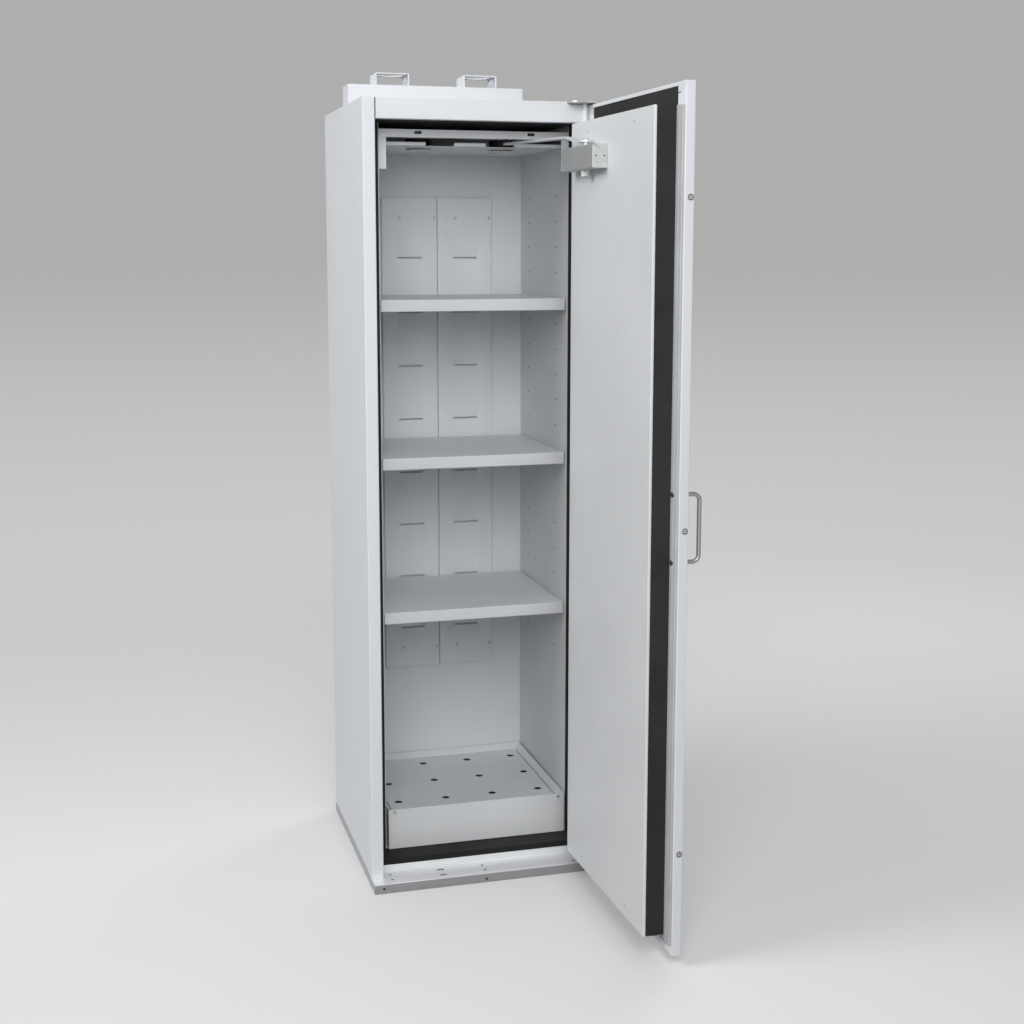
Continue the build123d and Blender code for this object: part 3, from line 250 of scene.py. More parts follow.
def brushed(name, dark, light, roughness, stretch, metallic=1.0):
    """Metal with fine lines: noise that the stretch draws out along one axis."""
    material, tree, shader, place = new_finish(name, roughness, metallic)
    lines = noise(tree, place, scale=1.0, detail=BRUSH_DETAIL, stretch=stretch)
    gloss = between(tree, lines, roughness - BRUSH_SMOOTHER, roughness + BRUSH_ROUGHER)
    feed(tree, shader.inputs["Base Color"], two_tone(tree, lines, dark, light))
    feed(tree, shader.inputs["Roughness"], gloss)
    relief(tree, shader, lines, BRUSH_STRENGTH, BRUSH_DEPTH)
    return material


ALONG_X, ALONG_Z = (6.0, 700.0, 700.0), (700.0, 700.0, 9.0)
SILL_METALLIC = 0.35
sill_metal = brushed("brushed_sill_steel", (0.78, 0.79, 0.81), (0.90, 0.91, 0.93),
                     roughness=0.34, stretch=ALONG_X, metallic=SILL_METALLIC)
finishes["handle_steel"] = brushed("brushed_handle_steel", (0.36, 0.36, 0.355), (0.46, 0.46, 0.455),
                                   roughness=0.40, stretch=ALONG_Z)
print("brushed:", sill_metal.name, finishes["handle_steel"].name)

# %% [markdown]
# ## Painted shade that changes with height
# The sill's front edge is painted darker than its tread: painted shade on the upright face, which
# gets less light than the tread. The tone is scaled by the height on the object, which needs no
# second piece and no painted image.

# %% Painted shade on the sill's edge
def by_height(material, low, high, below, above):
    """Scales a finish's tone from one share below a height to another above it."""
    tree = material.node_tree
    shader = next(node for node in tree.nodes if node.type == "BSDF_PRINCIPLED")
    tone = shader.inputs["Base Color"].links[0].from_socket
    place = add_node(tree, "ShaderNodeTexCoord").outputs["Object"]
    height = add_node(tree, "ShaderNodeSeparateXYZ", Vector=place).outputs["Z"]
    share = add_node(tree, "ShaderNodeMapRange", Value=height, From_Min=low, From_Max=high,
                     To_Min=below, To_Max=above).outputs["Result"]
    scaled = add_node(tree, "ShaderNodeVectorMath", {"operation": "SCALE"}, Vector=tone, Scale=share)
    feed(tree, shader.inputs["Base Color"], scaled.outputs["Vector"])
    return material


SILL_EDGE, SILL_TREAD = 0.0225, 0.0248
# The sill's front edge keeps this share of the tread's tone: painted shade on the upright face.
FRONT_SHADE_SHARE = 0.40
finishes["sill_steel"] = by_height(sill_metal, SILL_EDGE, SILL_TREAD, FRONT_SHADE_SHARE, 1.0)
print("sill dull below", SILL_EDGE, "m and bright above", SILL_TREAD, "m")

# %% [markdown]
# ## Zinc and silver paint
# The pivots are zinc plated, which shows small crystals. Voronoi cells have that look, one tone
# to a cell. The closer wears a silver paint, whose flakes are a very fine noise in a half metallic
# coat. An image could show both, but patterns made by nodes stay sharp at any distance.

# %% Zinc plate
CRYSTAL_SCALE = 420.0
ZINC_SMOOTHER, ZINC_ROUGHER = 0.05, 0.08
PLATING_SCALE, PLATING_STRENGTH, PLATING_DEPTH = 800.0, 0.1, 0.0002


def zinc(name, dark, light, roughness):
    """Plated steel with small crystals between two tones."""
    material, tree, shader, place = new_finish(name, roughness, metallic=1.0)
    cells = add_node(tree, "ShaderNodeTexVoronoi", Vector=place, Scale=CRYSTAL_SCALE).outputs["Color"]
    tone = add_node(tree, "ShaderNodeSeparateColor", Color=cells).outputs[0]
    gloss = between(tree, tone, roughness - ZINC_SMOOTHER, roughness + ZINC_ROUGHER)
    feed(tree, shader.inputs["Base Color"], two_tone(tree, tone, dark, light))
    feed(tree, shader.inputs["Roughness"], gloss)
    relief(tree, shader, noise(tree, place, PLATING_SCALE), PLATING_STRENGTH, PLATING_DEPTH)
    return material


finishes["pivot_steel"] = zinc("zinc_plated_steel", (0.50, 0.51, 0.52), (0.62, 0.63, 0.64),
                               roughness=0.46)
print("zinc plate:", finishes["pivot_steel"].name)

# %% Silver paint
PAINT_ROUGHNESS, PAINT_SPREAD, PAINT_METALLIC = 0.42, 0.04, 0.55
FLAKE_SCALE, FLOW_SCALE = 1500.0, 14.0
FLAKE_STRENGTH, FLAKE_HEIGHT = 0.08, 0.0002


def silver_paint(name, dark, light):
    """A half metallic paint with fine flakes between two tones."""
    material, tree, shader, place = new_finish(name, PAINT_ROUGHNESS, PAINT_METALLIC)
    flakes = noise(tree, place, FLAKE_SCALE, FINE_DETAIL)
    flow = noise(tree, place, FLOW_SCALE)
    gloss = between(tree, flow, PAINT_ROUGHNESS - PAINT_SPREAD, PAINT_ROUGHNESS + PAINT_SPREAD)
    feed(tree, shader.inputs["Base Color"], two_tone(tree, flakes, dark, light))
    feed(tree, shader.inputs["Roughness"], gloss)
    relief(tree, shader, flakes, FLAKE_STRENGTH, FLAKE_HEIGHT)
    return material


finishes["closer_coat"] = silver_paint("silver_closer_paint", (0.48, 0.49, 0.495), (0.56, 0.57, 0.575))
print("finishes:", sorted(finishes))

# %% [markdown]
# ## Dressing the solids
# Each solid takes the finish that its slot names. A few have their own: the arm is paler than the
# closer's housing; the air valves are painted near black above the ceiling sheet's underside,
# painted shade for the dark up in the holes; and the ceiling sheet with its frame take the paler
# outside coat, painted light that makes the recessed ceiling read as bright as it looks when lit.
# The solids themselves are never moved or reshaped.

# %% Finishes on the solids
# The valves' white plastic turns near black above the ceiling sheet's underside: painted shade for the dark up in
# the holes.
HOLE_SHADE_TONE = 0.05
HOLE_SHADE_START, HOLE_SHADE_FULL = 0.0012, 0.0022
ceiling_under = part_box("liner_ceiling")[0].z
valve_finish = by_height(grained("valve_with_dark_pipe", **VALVE_PLASTIC),
                         ceiling_under + HOLE_SHADE_START, ceiling_under + HOLE_SHADE_FULL, 1.0, HOLE_SHADE_TONE)
own_finish = {
    "closer_arm": silver_paint("pale_arm_paint", (0.66, 0.67, 0.68), (0.74, 0.75, 0.76)),
    "vent_valve_left": valve_finish, "vent_valve_right": valve_finish,
    # The ceiling sheet and its frame take the paler outside coat: painted light, so the recessed ceiling reads
    # bright.
    "ceiling_frame": finishes["white_coat"], "liner_ceiling": finishes["white_coat"],
}


def finish_of(name):
    """A node's own finish, or else the one of its slot."""
    return own_finish.get(name, finishes[slot_of[name]])


for name, node in nodes.items():
    node.data.materials.clear()
    node.data.materials.append(finish_of(name))
print("dressed", len(nodes), "nodes,", len(own_finish), "with a finish of their own")

# %% [markdown]
# ## Soft edges
# Real sheet metal and paint have no razor edges. A copy of a solid has its loose triangles merged,
# its flat areas cleaned of inner lines and its sharp edges bevelled by a fraction of a millimetre.
# The copy then stands for the solid. A bevel catches light, which no paint pattern can do.

# %% Helpers for pieces
MERGE_GAP = 1e-6
FLAT_ANGLE, CRISP_ANGLE = math.radians(0.3), math.radians(20)


def joined_copy(name):
    """One closed mesh from a solid's loose triangles."""
    mesh = bmesh.new()
    mesh.from_mesh(nodes[name].data)
    bmesh.ops.remove_doubles(mesh, verts=mesh.verts, dist=MERGE_GAP)
    bmesh.ops.dissolve_limit(mesh, angle_limit=FLAT_ANGLE, verts=mesh.verts, edges=mesh.edges)
    return mesh


def place_piece(mesh, name, body, slot, finish=None):
    """Makes an object from a bmesh, gives it a finish and lets it ride on a body."""
    data = bpy.data.meshes.new(name)
    mesh.to_mesh(data)
    mesh.free()
    piece = bpy.data.objects.new(name, data)
    scene.collection.objects.link(piece)
    data.materials.append(finish or finishes[slot])
    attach(piece, body)
    return piece


def baked(piece):
    """Applies a piece's modifiers to its mesh."""
    graph = bpy.context.evaluated_depsgraph_get()
    mesh = bpy.data.meshes.new_from_object(piece.evaluated_get(graph))
    piece.modifiers.clear()
    piece.data = mesh
    return piece


def round_shading(piece):
    """Smooth light on round faces, and crisp lines where faces meet at an angle."""
    piece.data.polygons.foreach_set("use_smooth", [True] * len(piece.data.polygons))
    piece.data.set_sharp_from_angle(angle=CRISP_ANGLE)


# %% Eased copies of the sheet parts
PAINT_EDGE, BOX_EDGE = 0.0005, 0.0012
BEVEL_STEPS, BEVEL_ANGLE = 2, math.radians(35)
BLUNT = ("closer_body", "upper_hinge_plate")
EASED = ("door_inner_panel", "door_pan", "plenum_box", "closer_body", "closer_arm", "door_handle",
         "sump_tray", "sump_insert", "ceiling_frame", "liner_ceiling", "front_fascia",
         "upper_hinge_plate", "hinge_sleeve", "duct_bracket_left", "duct_bracket_right",
         "duct_cover_left", "duct_cover_right", "shelf_top", "shelf_middle", "shelf_bottom")


def eased(name):
    """A copy of a solid with soft edges, which stands for the solid."""
    piece = place_piece(joined_copy(name), name + "_eased", body_of[name], slot_of[name], finish_of(name))
    bevel = piece.modifiers.new("edge", "BEVEL")
    bevel.width = BOX_EDGE if name in BLUNT else PAINT_EDGE
    bevel.segments = BEVEL_STEPS
    bevel.limit_method = "ANGLE"
    bevel.angle_limit = BEVEL_ANGLE
    baked(piece)
    round_shading(piece)
    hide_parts(name)
    return piece


eased_faces = [len(eased(name).data.polygons) for name in EASED]
print("eased", len(EASED), "parts,", sum(eased_faces), "faces")

# %% [markdown]
# ## Screws by Geometry Nodes
# Screw heads repeat all over the cabinet, so one node tree makes them: a low cone with a crossed recess,
# set on every point of a mesh of loose points and turned to the direction that the point stores.
# Modelling each head by hand would give the same look, but one tree keeps them alike and easy to resize.

# %% Start and end of a tree
def new_tree(name, sizes):
    """A tree that takes places, named sizes and a finish, and the sockets that hand them on."""
    tree = bpy.data.node_groups.new(name, "GeometryNodeTree")
    socket = tree.interface.new_socket
    socket(name="Places", in_out="INPUT", socket_type="NodeSocketGeometry")
    for label, value in sizes.items():
        kind = "NodeSocketInt" if isinstance(value, int) else "NodeSocketFloat"
        socket(name=label, in_out="INPUT", socket_type=kind).default_value = value
    socket(name="Finish", in_out="INPUT", socket_type="NodeSocketMaterial")
    socket(name="Pieces", in_out="OUTPUT", socket_type="NodeSocketGeometry")
    return tree, tree.nodes.new("NodeGroupInput").outputs


def set_on_places(tree, given, shape):
    """Ends a tree: the shape stands on every place, turned to the place's direction."""
    facing = add_node(tree, "GeometryNodeInputNamedAttribute", {"data_type": "FLOAT_VECTOR"},
                      Name="facing")
    turn = add_node(tree, "FunctionNodeAlignRotationToVector", {"axis": "Z"},
                    Vector=facing.outputs["Attribute"])
    placed = add_node(tree, "GeometryNodeInstanceOnPoints", Points=given["Places"], Instance=shape,
                      Rotation=turn.outputs[0])
    real = add_node(tree, "GeometryNodeRealizeInstances", Geometry=placed.outputs[0])
    dressed = add_node(tree, "GeometryNodeSetMaterial", Geometry=real.outputs[0],
                       Material=given["Finish"])
    end = tree.nodes.new("NodeGroupOutput")
    feed(tree, end.inputs["Pieces"], dressed.outputs[0])


# %% A tree for screw heads
HEAD_SIDES = 24
HEAD_TAPER = 0.66
RECESS_WIDTH, RECESS_LIFT = 0.24, 0.75


def screw_tree():
    """A tree that sets a cone with a crossed recess on every place."""
    tree, given = new_tree("screw_heads", {"Head radius": 0.004, "Head height": 0.0015})
    radius, height = given["Head radius"], given["Head height"]
    head = add_node(tree, "GeometryNodeMeshCone", Vertices=HEAD_SIDES, Radius_Bottom=radius, Depth=height,
                    Radius_Top=maths(tree, "MULTIPLY", radius, HEAD_TAPER)).outputs["Mesh"]
    cut = add_node(tree, "GeometryNodeMeshBoolean", {"operation": "DIFFERENCE"}, Mesh_1=head)
    narrow = maths(tree, "MULTIPLY", radius, RECESS_WIDTH)
    raise_by = maths(tree, "MULTIPLY", height, RECESS_LIFT)
    lift = add_node(tree, "ShaderNodeCombineXYZ", Z=raise_by).outputs[0]
    for x, y in ((radius, narrow), (narrow, radius)):
        size = add_node(tree, "ShaderNodeCombineXYZ", X=x, Y=y, Z=height).outputs[0]
        bar = add_node(tree, "GeometryNodeMeshCube", Size=size).outputs["Mesh"]
        raised = add_node(tree, "GeometryNodeTransform", Geometry=bar, Translation=lift).outputs[0]
        tree.links.new(raised, cut.inputs["Mesh 2"])
    set_on_places(tree, given, cut.outputs["Mesh"])
    return tree


screws = screw_tree()
print("screw tree:", len(screws.nodes), "nodes")

# %% [markdown]
# ## From a tree to a piece
# A tree runs as a modifier on a mesh that holds only points. Its inputs are set by the sockets'
# identifiers, because names need not be unique. The result is then baked to a plain mesh.
# The first piece made this way is the sill's screws: five in the tread and two in its front edge.

# %% Screws in the sill
UP, FORWARD, BACKWARD = Vector((0, 0, 1)), Vector((0, -1, 0)), Vector((0, 1, 0))
LEFT, RIGHT = Vector((-1, 0, 0)), Vector((1, 0, 0))


def from_tree(tree, name, places, body, slot, **sizes):
    """Runs a tree on places, given as (point, direction), and leaves one plain mesh on a body."""
    data = bpy.data.meshes.new(name)
    data.from_pydata([tuple(point) for point, facing in places], [], [])
    directions = data.attributes.new("facing", "FLOAT_VECTOR", "POINT")
    for item, (point, facing) in zip(directions.data, places):
        item.vector = facing
    piece = bpy.data.objects.new(name, data)
    scene.collection.objects.link(piece)
    maker = piece.modifiers.new("maker", "NODES")
    maker.node_group = tree
    values = {"finish": finishes[slot], **sizes}
    for socket in tree.interface.items_tree:
        key = socket.name.lower().replace(" ", "_")
        if socket.in_out == "INPUT" and key in values:
            maker[socket.identifier] = values[key]
    baked(piece)
    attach(piece, body)
    print(name, len(places), "places,", len(piece.data.polygons), "faces")


SILL_SCREWS = ((0.050, 0.054), (0.050, 0.023), (0.290, 0.051), (0.290, 0.021), (0.526, 0.017))
SILL_EDGE_SCREWS = ((0.024, 0.013), (0.289, 0.0095))
PANEL_LIFT = 0.0005
sill_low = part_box("sill_plate")[0]
side_low, side_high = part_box("side_panel_right")
tread = side_low.z - PANEL_LIFT
sill_places = [(Vector((sill_low.x + x, sill_low.y + y, tread)), UP) for x, y in SILL_SCREWS]
sill_places += [(Vector((sill_low.x + x, sill_low.y, z)), FORWARD) for x, z in SILL_EDGE_SCREWS]
from_tree(screws, "sill_screws", sill_places, "cabinet", "black_cap",
          head_radius=0.0032, head_height=0.0008)

# %% [markdown]
# ## Screws of the lining
# Two screws hold each side of the lining under the ceiling, four hold each duct cover and two the
# collecting tray. Their places are measured from the solids' edges, so they follow a change of size.

# %% Screws in the lining
LINING_SCREW_DEPTHS, LINING_SCREW_DROP = (-0.073, 0.113), 0.0675
DUCT_SCREW_MARGIN = 0.053
DUCT_SCREW_SIDES = {"duct_cover_right": (0.0505, 0.008), "duct_cover_left": (0.0505, 0.0075)}
TRAY_SCREW_SIDE, TRAY_SCREW_DROP = 0.017, 0.008
liner_low, liner_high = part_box("liner_right")
lining_places = []
for y in LINING_SCREW_DEPTHS:
    z = liner_high.z - LINING_SCREW_DROP
    lining_places += [(Vector((liner_low.x, y, z)), LEFT), (Vector((-liner_low.x, y, z)), RIGHT)]
for cover, (from_left, from_right) in DUCT_SCREW_SIDES.items():
    low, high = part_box(cover)
    for z in (low.z + DUCT_SCREW_MARGIN, high.z - DUCT_SCREW_MARGIN):
        for x in (low.x + from_left, high.x - from_right):
            lining_places.append((Vector((x, low.y, z)), FORWARD))
low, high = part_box("sump_tray")
for x in (low.x + TRAY_SCREW_SIDE, high.x - TRAY_SCREW_SIDE):
    lining_places.append((Vector((x, low.y, high.z - TRAY_SCREW_DROP)), FORWARD))
from_tree(screws, "lining_screws", lining_places, "cabinet", "pivot_steel",
          head_radius=0.0045, head_height=0.0018)

# %% [markdown]
# ## Screws of the shell
# A row of screws joins the rear panel to each side, a few hold the lid, and two the upper hinge plate.
# The lid has none where the hinge plate lies over it. The rows are divided evenly, which is shorter than
# a list of heights and still fits if the cabinet grows.

# %% Screws at the back, on the lid and on the hinge plate
REAR_ROWS, REAR_MARGIN, REAR_SIDE = 7, 0.04, 0.010
LID_MARGIN, LID_MIDDLE = 0.02, 0.0
HINGE_SCREW_SIDES, HINGE_SCREW_BACK = (0.014, 0.042), 0.016
rear_low, rear_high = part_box("rear_panel")
lid_low, lid_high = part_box("top_panel")
hinge_low, hinge_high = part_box("upper_hinge_plate")
row_step = (rear_high.z - rear_low.z - 2 * REAR_MARGIN) / (REAR_ROWS - 1)
shell_places = []
for row in range(REAR_ROWS):
    z = rear_low.z + REAR_MARGIN + row * row_step
    for side in (-1, 1):
        shell_places.append((Vector((side * (side_high.x - REAR_SIDE), side_high.y, z)), BACKWARD))
for x in (lid_low.x + LID_MARGIN, lid_high.x - LID_MARGIN):
    for y in (lid_low.y + LID_MARGIN, LID_MIDDLE, lid_high.y - LID_MARGIN):
        if x < hinge_low.x or y > hinge_high.y:
            shell_places.append((Vector((x, y, lid_high.z)), UP))
for from_left in HINGE_SCREW_SIDES:
    place = Vector((hinge_low.x + from_left, hinge_high.y - HINGE_SCREW_BACK, hinge_high.z))
    shell_places.append((place, UP))
from_tree(screws, "shell_screws", shell_places, "cabinet", "pivot_steel",
          head_radius=0.004, head_height=0.0016)

# %% [markdown]
# ## Screws of the door's inner panel
# Four small painted screws hold the inner panel. They are placed on the shut door, where every edge
# runs along an axis, and turned open with it.

# %% Screws in the inner panel
PANEL_SCREW_FREE, PANEL_SCREW_HINGE, PANEL_SCREW_MARGIN = 0.113, 0.1105, 0.0248


def on_door(point, facing):
    """A place on the shut door, turned to where the open door has it."""
    return to_open @ Vector(point), to_open.to_3x3() @ facing


door_places = [on_door((x, panel_high.y, z), BACKWARD)
               for x in (panel_low.x + PANEL_SCREW_FREE, panel_high.x - PANEL_SCREW_HINGE)
               for z in (panel_low.z + PANEL_SCREW_MARGIN, panel_high.z - PANEL_SCREW_MARGIN)]
from_tree(screws, "door_panel_screws", door_places, "door", "base_coat",
          head_radius=0.0034, head_height=0.0008)

# %% [markdown]
# ## Rosettes on the door's edge
# Three round inserts sit in the free edge of the leaf. Each shows a ring of small dark holes round
# a centre mark. A second tree sets dots on a circle, and that ring on each insert. Real holes in so
# small a cap would need far more faces for the same look, so the dots are shallow black lenses:
# painted shade for the dark inside the holes and the centre mark.

# %% A tree for rings of dots
DOT_SEGMENTS, DOT_RINGS = 12, 6
DOT_FLATTEN = (1.0, 1.0, 0.25)


def rosette_tree():
    """A tree that sets a ring of flat dots, with dots in the middle, on every place."""
    tree, given = new_tree("rosettes", {"Ring radius": 0.005, "Dot radius": 0.001,
                                        "Dots": 10, "Middle dots": 1})
    ring = add_node(tree, "GeometryNodeMeshCircle", Vertices=given["Dots"], Radius=given["Ring radius"])
    middle = add_node(tree, "GeometryNodeMeshLine", Count=given["Middle dots"])
    spots = add_node(tree, "GeometryNodeJoinGeometry")
    for part in (ring, middle):
        tree.links.new(part.outputs[0], spots.inputs[0])
    ball = add_node(tree, "GeometryNodeMeshUVSphere", Segments=DOT_SEGMENTS, Rings=DOT_RINGS,
                    Radius=given["Dot radius"]).outputs[0]
    lens = add_node(tree, "GeometryNodeTransform", Geometry=ball, Scale=DOT_FLATTEN).outputs[0]
    dots = add_node(tree, "GeometryNodeInstanceOnPoints", Points=spots.outputs[0], Instance=lens)
    set_on_places(tree, given, dots.outputs[0])
    return tree


rosettes = rosette_tree()
print("rosette tree:", len(rosettes.nodes), "nodes")

# %% [markdown]
# ## Where the rosettes go
# The three inserts are one node of the part, so their middles are found by walking along the edges of
# each separate solid. That way the rosettes stay on the inserts wherever the part puts them.

# %% Rosettes on the inserts
def centres(name):
    """The middle of each separate solid of a door node, with the door shut."""
    mesh = joined_copy(name)
    left = set(mesh.verts)
    found = []
    while left:
        island, rim = [], [left.pop()]
        while rim:
            vert = rim.pop()
            island.append(vert)
            fresh = {edge.other_vert(vert) for edge in vert.link_edges} & left
            left -= fresh
            rim.extend(fresh)
        points = [to_shut @ vert.co for vert in island]
        found.append(sum(points, Vector()) / len(points))
    mesh.free()
    return sorted(found, key=lambda point: point.z)


insert_face = shut_box("edge_screws")[0].x
edge_places = [on_door((insert_face, middle.y, middle.z), LEFT) for middle in centres("edge_screws")]
from_tree(rosettes, "edge_rosettes", edge_places, "door", "black_cap",
          ring_radius=0.0054, dot_radius=0.0019, dots=8, middle_dots=1)

# %% [markdown]
# ## Holes in the closer's end plug
# The plug is turned with a pin spanner, so it has two holes. The same tree draws them, as one dot on
# each place. Each dot is black, painted shade for the inside of a hole. Cutting them would take a
# copy of the plug, for two spots of a few millimetres.

# %% Spanner holes
HOLE_PITCH = 0.020
plug_low, plug_high = shut_box("closer_end_plug")
plug_middle = (plug_low + plug_high) / 2
plug_places = [on_door((plug_low.x, plug_middle.y + side * HOLE_PITCH / 2, plug_middle.z), LEFT)
               for side in (-1, 1)]
from_tree(rosettes, "end_plug_holes", plug_places, "door", "black_cap",
          ring_radius=0.0, dot_radius=0.0021, dots=0, middle_dots=1)

# %% [markdown]
# ## Strips
# Thin strips are drawn from an outline: a foaming strip along the sill, which swells and shuts the gap
# in a fire, and a lipped strip on the door's free flange.
# An outline that is drawn out gives a clean edge that still catches light.

# %% Foaming strip along the sill
def drawn(outline, axis, start, end, name, body, slot, turn=None, finish=None):
    """A bar with an outline across the given axis, drawn out along it from start to end."""
    mesh = bmesh.new()
    rings = []
    for along in (start, end):
        corners = [(*pair[:axis], along, *pair[axis:]) for pair in outline]
        rings.append([mesh.verts.new(corner) for corner in corners])
        mesh.faces.new(rings[-1])
    for i in range(len(outline)):
        j = (i + 1) % len(outline)
        mesh.faces.new((rings[0][i], rings[0][j], rings[1][j], rings[1][i]))
    if turn:
        mesh.transform(turn)
    bmesh.ops.recalc_face_normals(mesh, faces=mesh.faces)
    piece = place_piece(mesh, name, body, slot, finish)
    print("drawn", name, len(piece.data.polygons), "faces")


X_AXIS, Y_AXIS, Z_AXIS = 0, 1, 2
CORNER_CUT = 0.0008
FOAM_THICK, FOAM_MARGIN, FOAM_END = 0.0016, 0.0015, 0.004
foam_finish = grained("foaming_strip", (0.005, 0.007, 0.006), (0.011, 0.013, 0.012),
                      roughness=0.7, grain=600.0, depth=0.0003)
board_low, board_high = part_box("rebate_bottom")
face, foot, head = board_low.y, board_low.z + FOAM_MARGIN, board_high.z - FOAM_MARGIN
crest = face - FOAM_THICK
foam_outline = [(face, foot), (crest + CORNER_CUT, foot), (crest, foot + CORNER_CUT),
                (crest, head - CORNER_CUT), (crest + CORNER_CUT, head), (face, head)]
drawn(foam_outline, X_AXIS, board_low.x + FOAM_END, board_high.x - FOAM_END, "sill_foam_strip",
      "cabinet", "black_cap", finish=foam_finish)

# %% Lipped strip on the free flange
STRIP_MARGIN, STRIP_GAP, STRIP_THICK, STRIP_FOOT = 0.0025, 0.0003, 0.0010, 0.022
RIDGE_SHARE, RIDGE_HEIGHT = 0.36, 0.0026
RIDGE_FOOT, RIDGE_TOP = 0.0022, 0.0010
seal_low, seal_high = shut_box("door_seal")
inner = pan_high.y
left, right = pan_low.x + STRIP_MARGIN, seal_low.x - STRIP_GAP
ridge = left + RIDGE_SHARE * (right - left)
strip_outline = [(left, inner), (right, inner), (right, inner + STRIP_THICK),
                 (ridge + RIDGE_FOOT, inner + STRIP_THICK), (ridge + RIDGE_TOP, inner + RIDGE_HEIGHT),
                 (ridge - RIDGE_TOP, inner + RIDGE_HEIGHT), (ridge - RIDGE_FOOT, inner + STRIP_THICK),
                 (left, inner + STRIP_THICK)]
drawn(strip_outline, Z_AXIS, pan_low.z + STRIP_FOOT, seal_high.z, "free_edge_strip",
      "door", "seal", to_open)

# %% [markdown]
# ## Joint round the closer's end plug
# A fine dark ring shows where the plug is screwed into the housing. A small outline is turned about
# the plug's axis, as on a lathe. A circle in the paint would have no edge to catch the light.

# %% Plug joint
JOINT_STEPS = 48
JOINT_HALF, JOINT_PROUD = 0.0007, 0.0003


def turned_ring(outline, middle, name, body, slot, turn):
    """A ring with an outline of (x, radius) pairs, turned about a line along X through the middle."""
    mesh = bmesh.new()
    rings = []
    for step in range(JOINT_STEPS):
        angle = 2 * math.pi * step / JOINT_STEPS
        across, up = math.cos(angle), math.sin(angle)
        rings.append([mesh.verts.new((x, middle.y + r * across, middle.z + r * up)) for x, r in outline])
    for step in range(JOINT_STEPS):
        here, there = rings[step], rings[(step + 1) % JOINT_STEPS]
        for i in range(len(outline)):
            j = (i + 1) % len(outline)
            mesh.faces.new((here[i], here[j], there[j], there[i]))
    mesh.transform(turn)
    bmesh.ops.recalc_face_normals(mesh, faces=mesh.faces)
    piece = place_piece(mesh, name, body, slot)
    round_shading(piece)
    print("turned", name, len(piece.data.polygons), "faces")


housing_end = shut_box("closer_body")[0].x
proud = housing_end - JOINT_PROUD
plug_radius = (plug_high.z - plug_low.z) / 2
joint_outline = [(housing_end, plug_radius - JOINT_HALF / 2), (proud, plug_radius + JOINT_HALF / 2),
                 (proud, plug_radius + JOINT_HALF), (housing_end, plug_radius + 2 * JOINT_HALF)]
turned_ring(joint_outline, plug_middle, "end_plug_joint", "door", "base_coat", to_open)

# %% [markdown]
# ## Hem of the door's inner panel
# The panel's sheet is folded back on itself along its rim, which leaves a slightly proud band.
# Four low strips make that band. They are easier to draw than a fold in the panel's own mesh.

# %% Panel hems
HEM_PROUD, HEM_START, HEM_DEPTH = 0.0004, 0.0006, 0.0042
front = panel_high.y - HEM_START
back = panel_high.y - HEM_START - HEM_DEPTH
for side, edge, out in (("free", panel_low.x, -1), ("hinge", panel_high.x, 1)):
    crest = edge + out * HEM_PROUD
    outline = [(edge, back), (edge, front), (crest, front - CORNER_CUT), (crest, back + CORNER_CUT)]
    drawn(outline, Z_AXIS, panel_low.z, panel_high.z, side + "_panel_hem", "door", "white_coat", to_open)
for side, edge, out in (("lower", panel_low.z, -1), ("upper", panel_high.z, 1)):
    crest = edge + out * HEM_PROUD
    outline = [(back, edge), (front, edge), (front - CORNER_CUT, crest), (back + CORNER_CUT, crest)]
    drawn(outline, X_AXIS, panel_low.x, panel_high.x, side + "_panel_hem", "door", "white_coat", to_open)

# %% [markdown]
# ## Painted shade in the ceiling frame
# Two small black blocks sit in the frame's windows: painted shade for the dark seen through them.
# They are drawn from an outline with cut corners, like moulded rubber, since a plain box would have
# razor edges.

# %% Painted shade blocks in the frame's windows
# Black blocks in the frame's windows: painted shade for the dark behind the slots.
WINDOW_SHADE_X, WINDOW_SHADE_HALF, WINDOW_SHADE_HEIGHT, WINDOW_SHADE_DROP = 0.1436, 0.0089, 0.0068, 0.0041
WINDOW_SHADE_FRONT, WINDOW_SHADE_BACK = 0.0006, 0.0018
frame_low, frame_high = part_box("ceiling_frame")


def cut_corners(low_x, high_x, low_y, high_y):
    """The outline of a rectangle with its four corners cut."""
    cut = CORNER_CUT
    return [(low_x + cut, low_y), (high_x - cut, low_y), (high_x, low_y + cut), (high_x, high_y - cut),
            (high_x - cut, high_y), (low_x + cut, high_y), (low_x, high_y - cut), (low_x, low_y + cut)]


for side, middle in (("left", -WINDOW_SHADE_X), ("right", WINDOW_SHADE_X)):
    window_shade_top = frame_high.z - WINDOW_SHADE_DROP
    outline = cut_corners(middle - WINDOW_SHADE_HALF, middle + WINDOW_SHADE_HALF, window_shade_top - WINDOW_SHADE_HEIGHT, window_shade_top)
    drawn(outline, Y_AXIS, frame_low.y + WINDOW_SHADE_FRONT, frame_low.y + WINDOW_SHADE_BACK, "frame_stop_" + side,
          "cabinet", "black_cap")

# %% [markdown]
# ## Caps on the posts
# The posts beside the door are hollow folds, filled with board. A thin cap closes each at the top.
# The right one leaves room for the upper hinge plate.

# %% Post caps
CAP_GAP = 0.0003
post_low, post_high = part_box("rebate_left")
cap_ends = {"left": (post_low.x, post_high.x), "right": (hinge_high.x + CAP_GAP, -post_low.x)}
for side, (start, end) in cap_ends.items():
    outline = cut_corners(start, end, post_low.y, lid_low.y - CAP_GAP)
    drawn(outline, Z_AXIS, post_high.z + CAP_GAP, lid_high.z, side + "_post_cap", "cabinet", "white_coat")

# %% [markdown]
# ## Mitre seams
# The door pan's flanges meet in the upper corners at a slant, and the cut shows as a fine dark line.
# A hair-thin bar that follows the cut draws it. A true gap in the sheet would let light through.

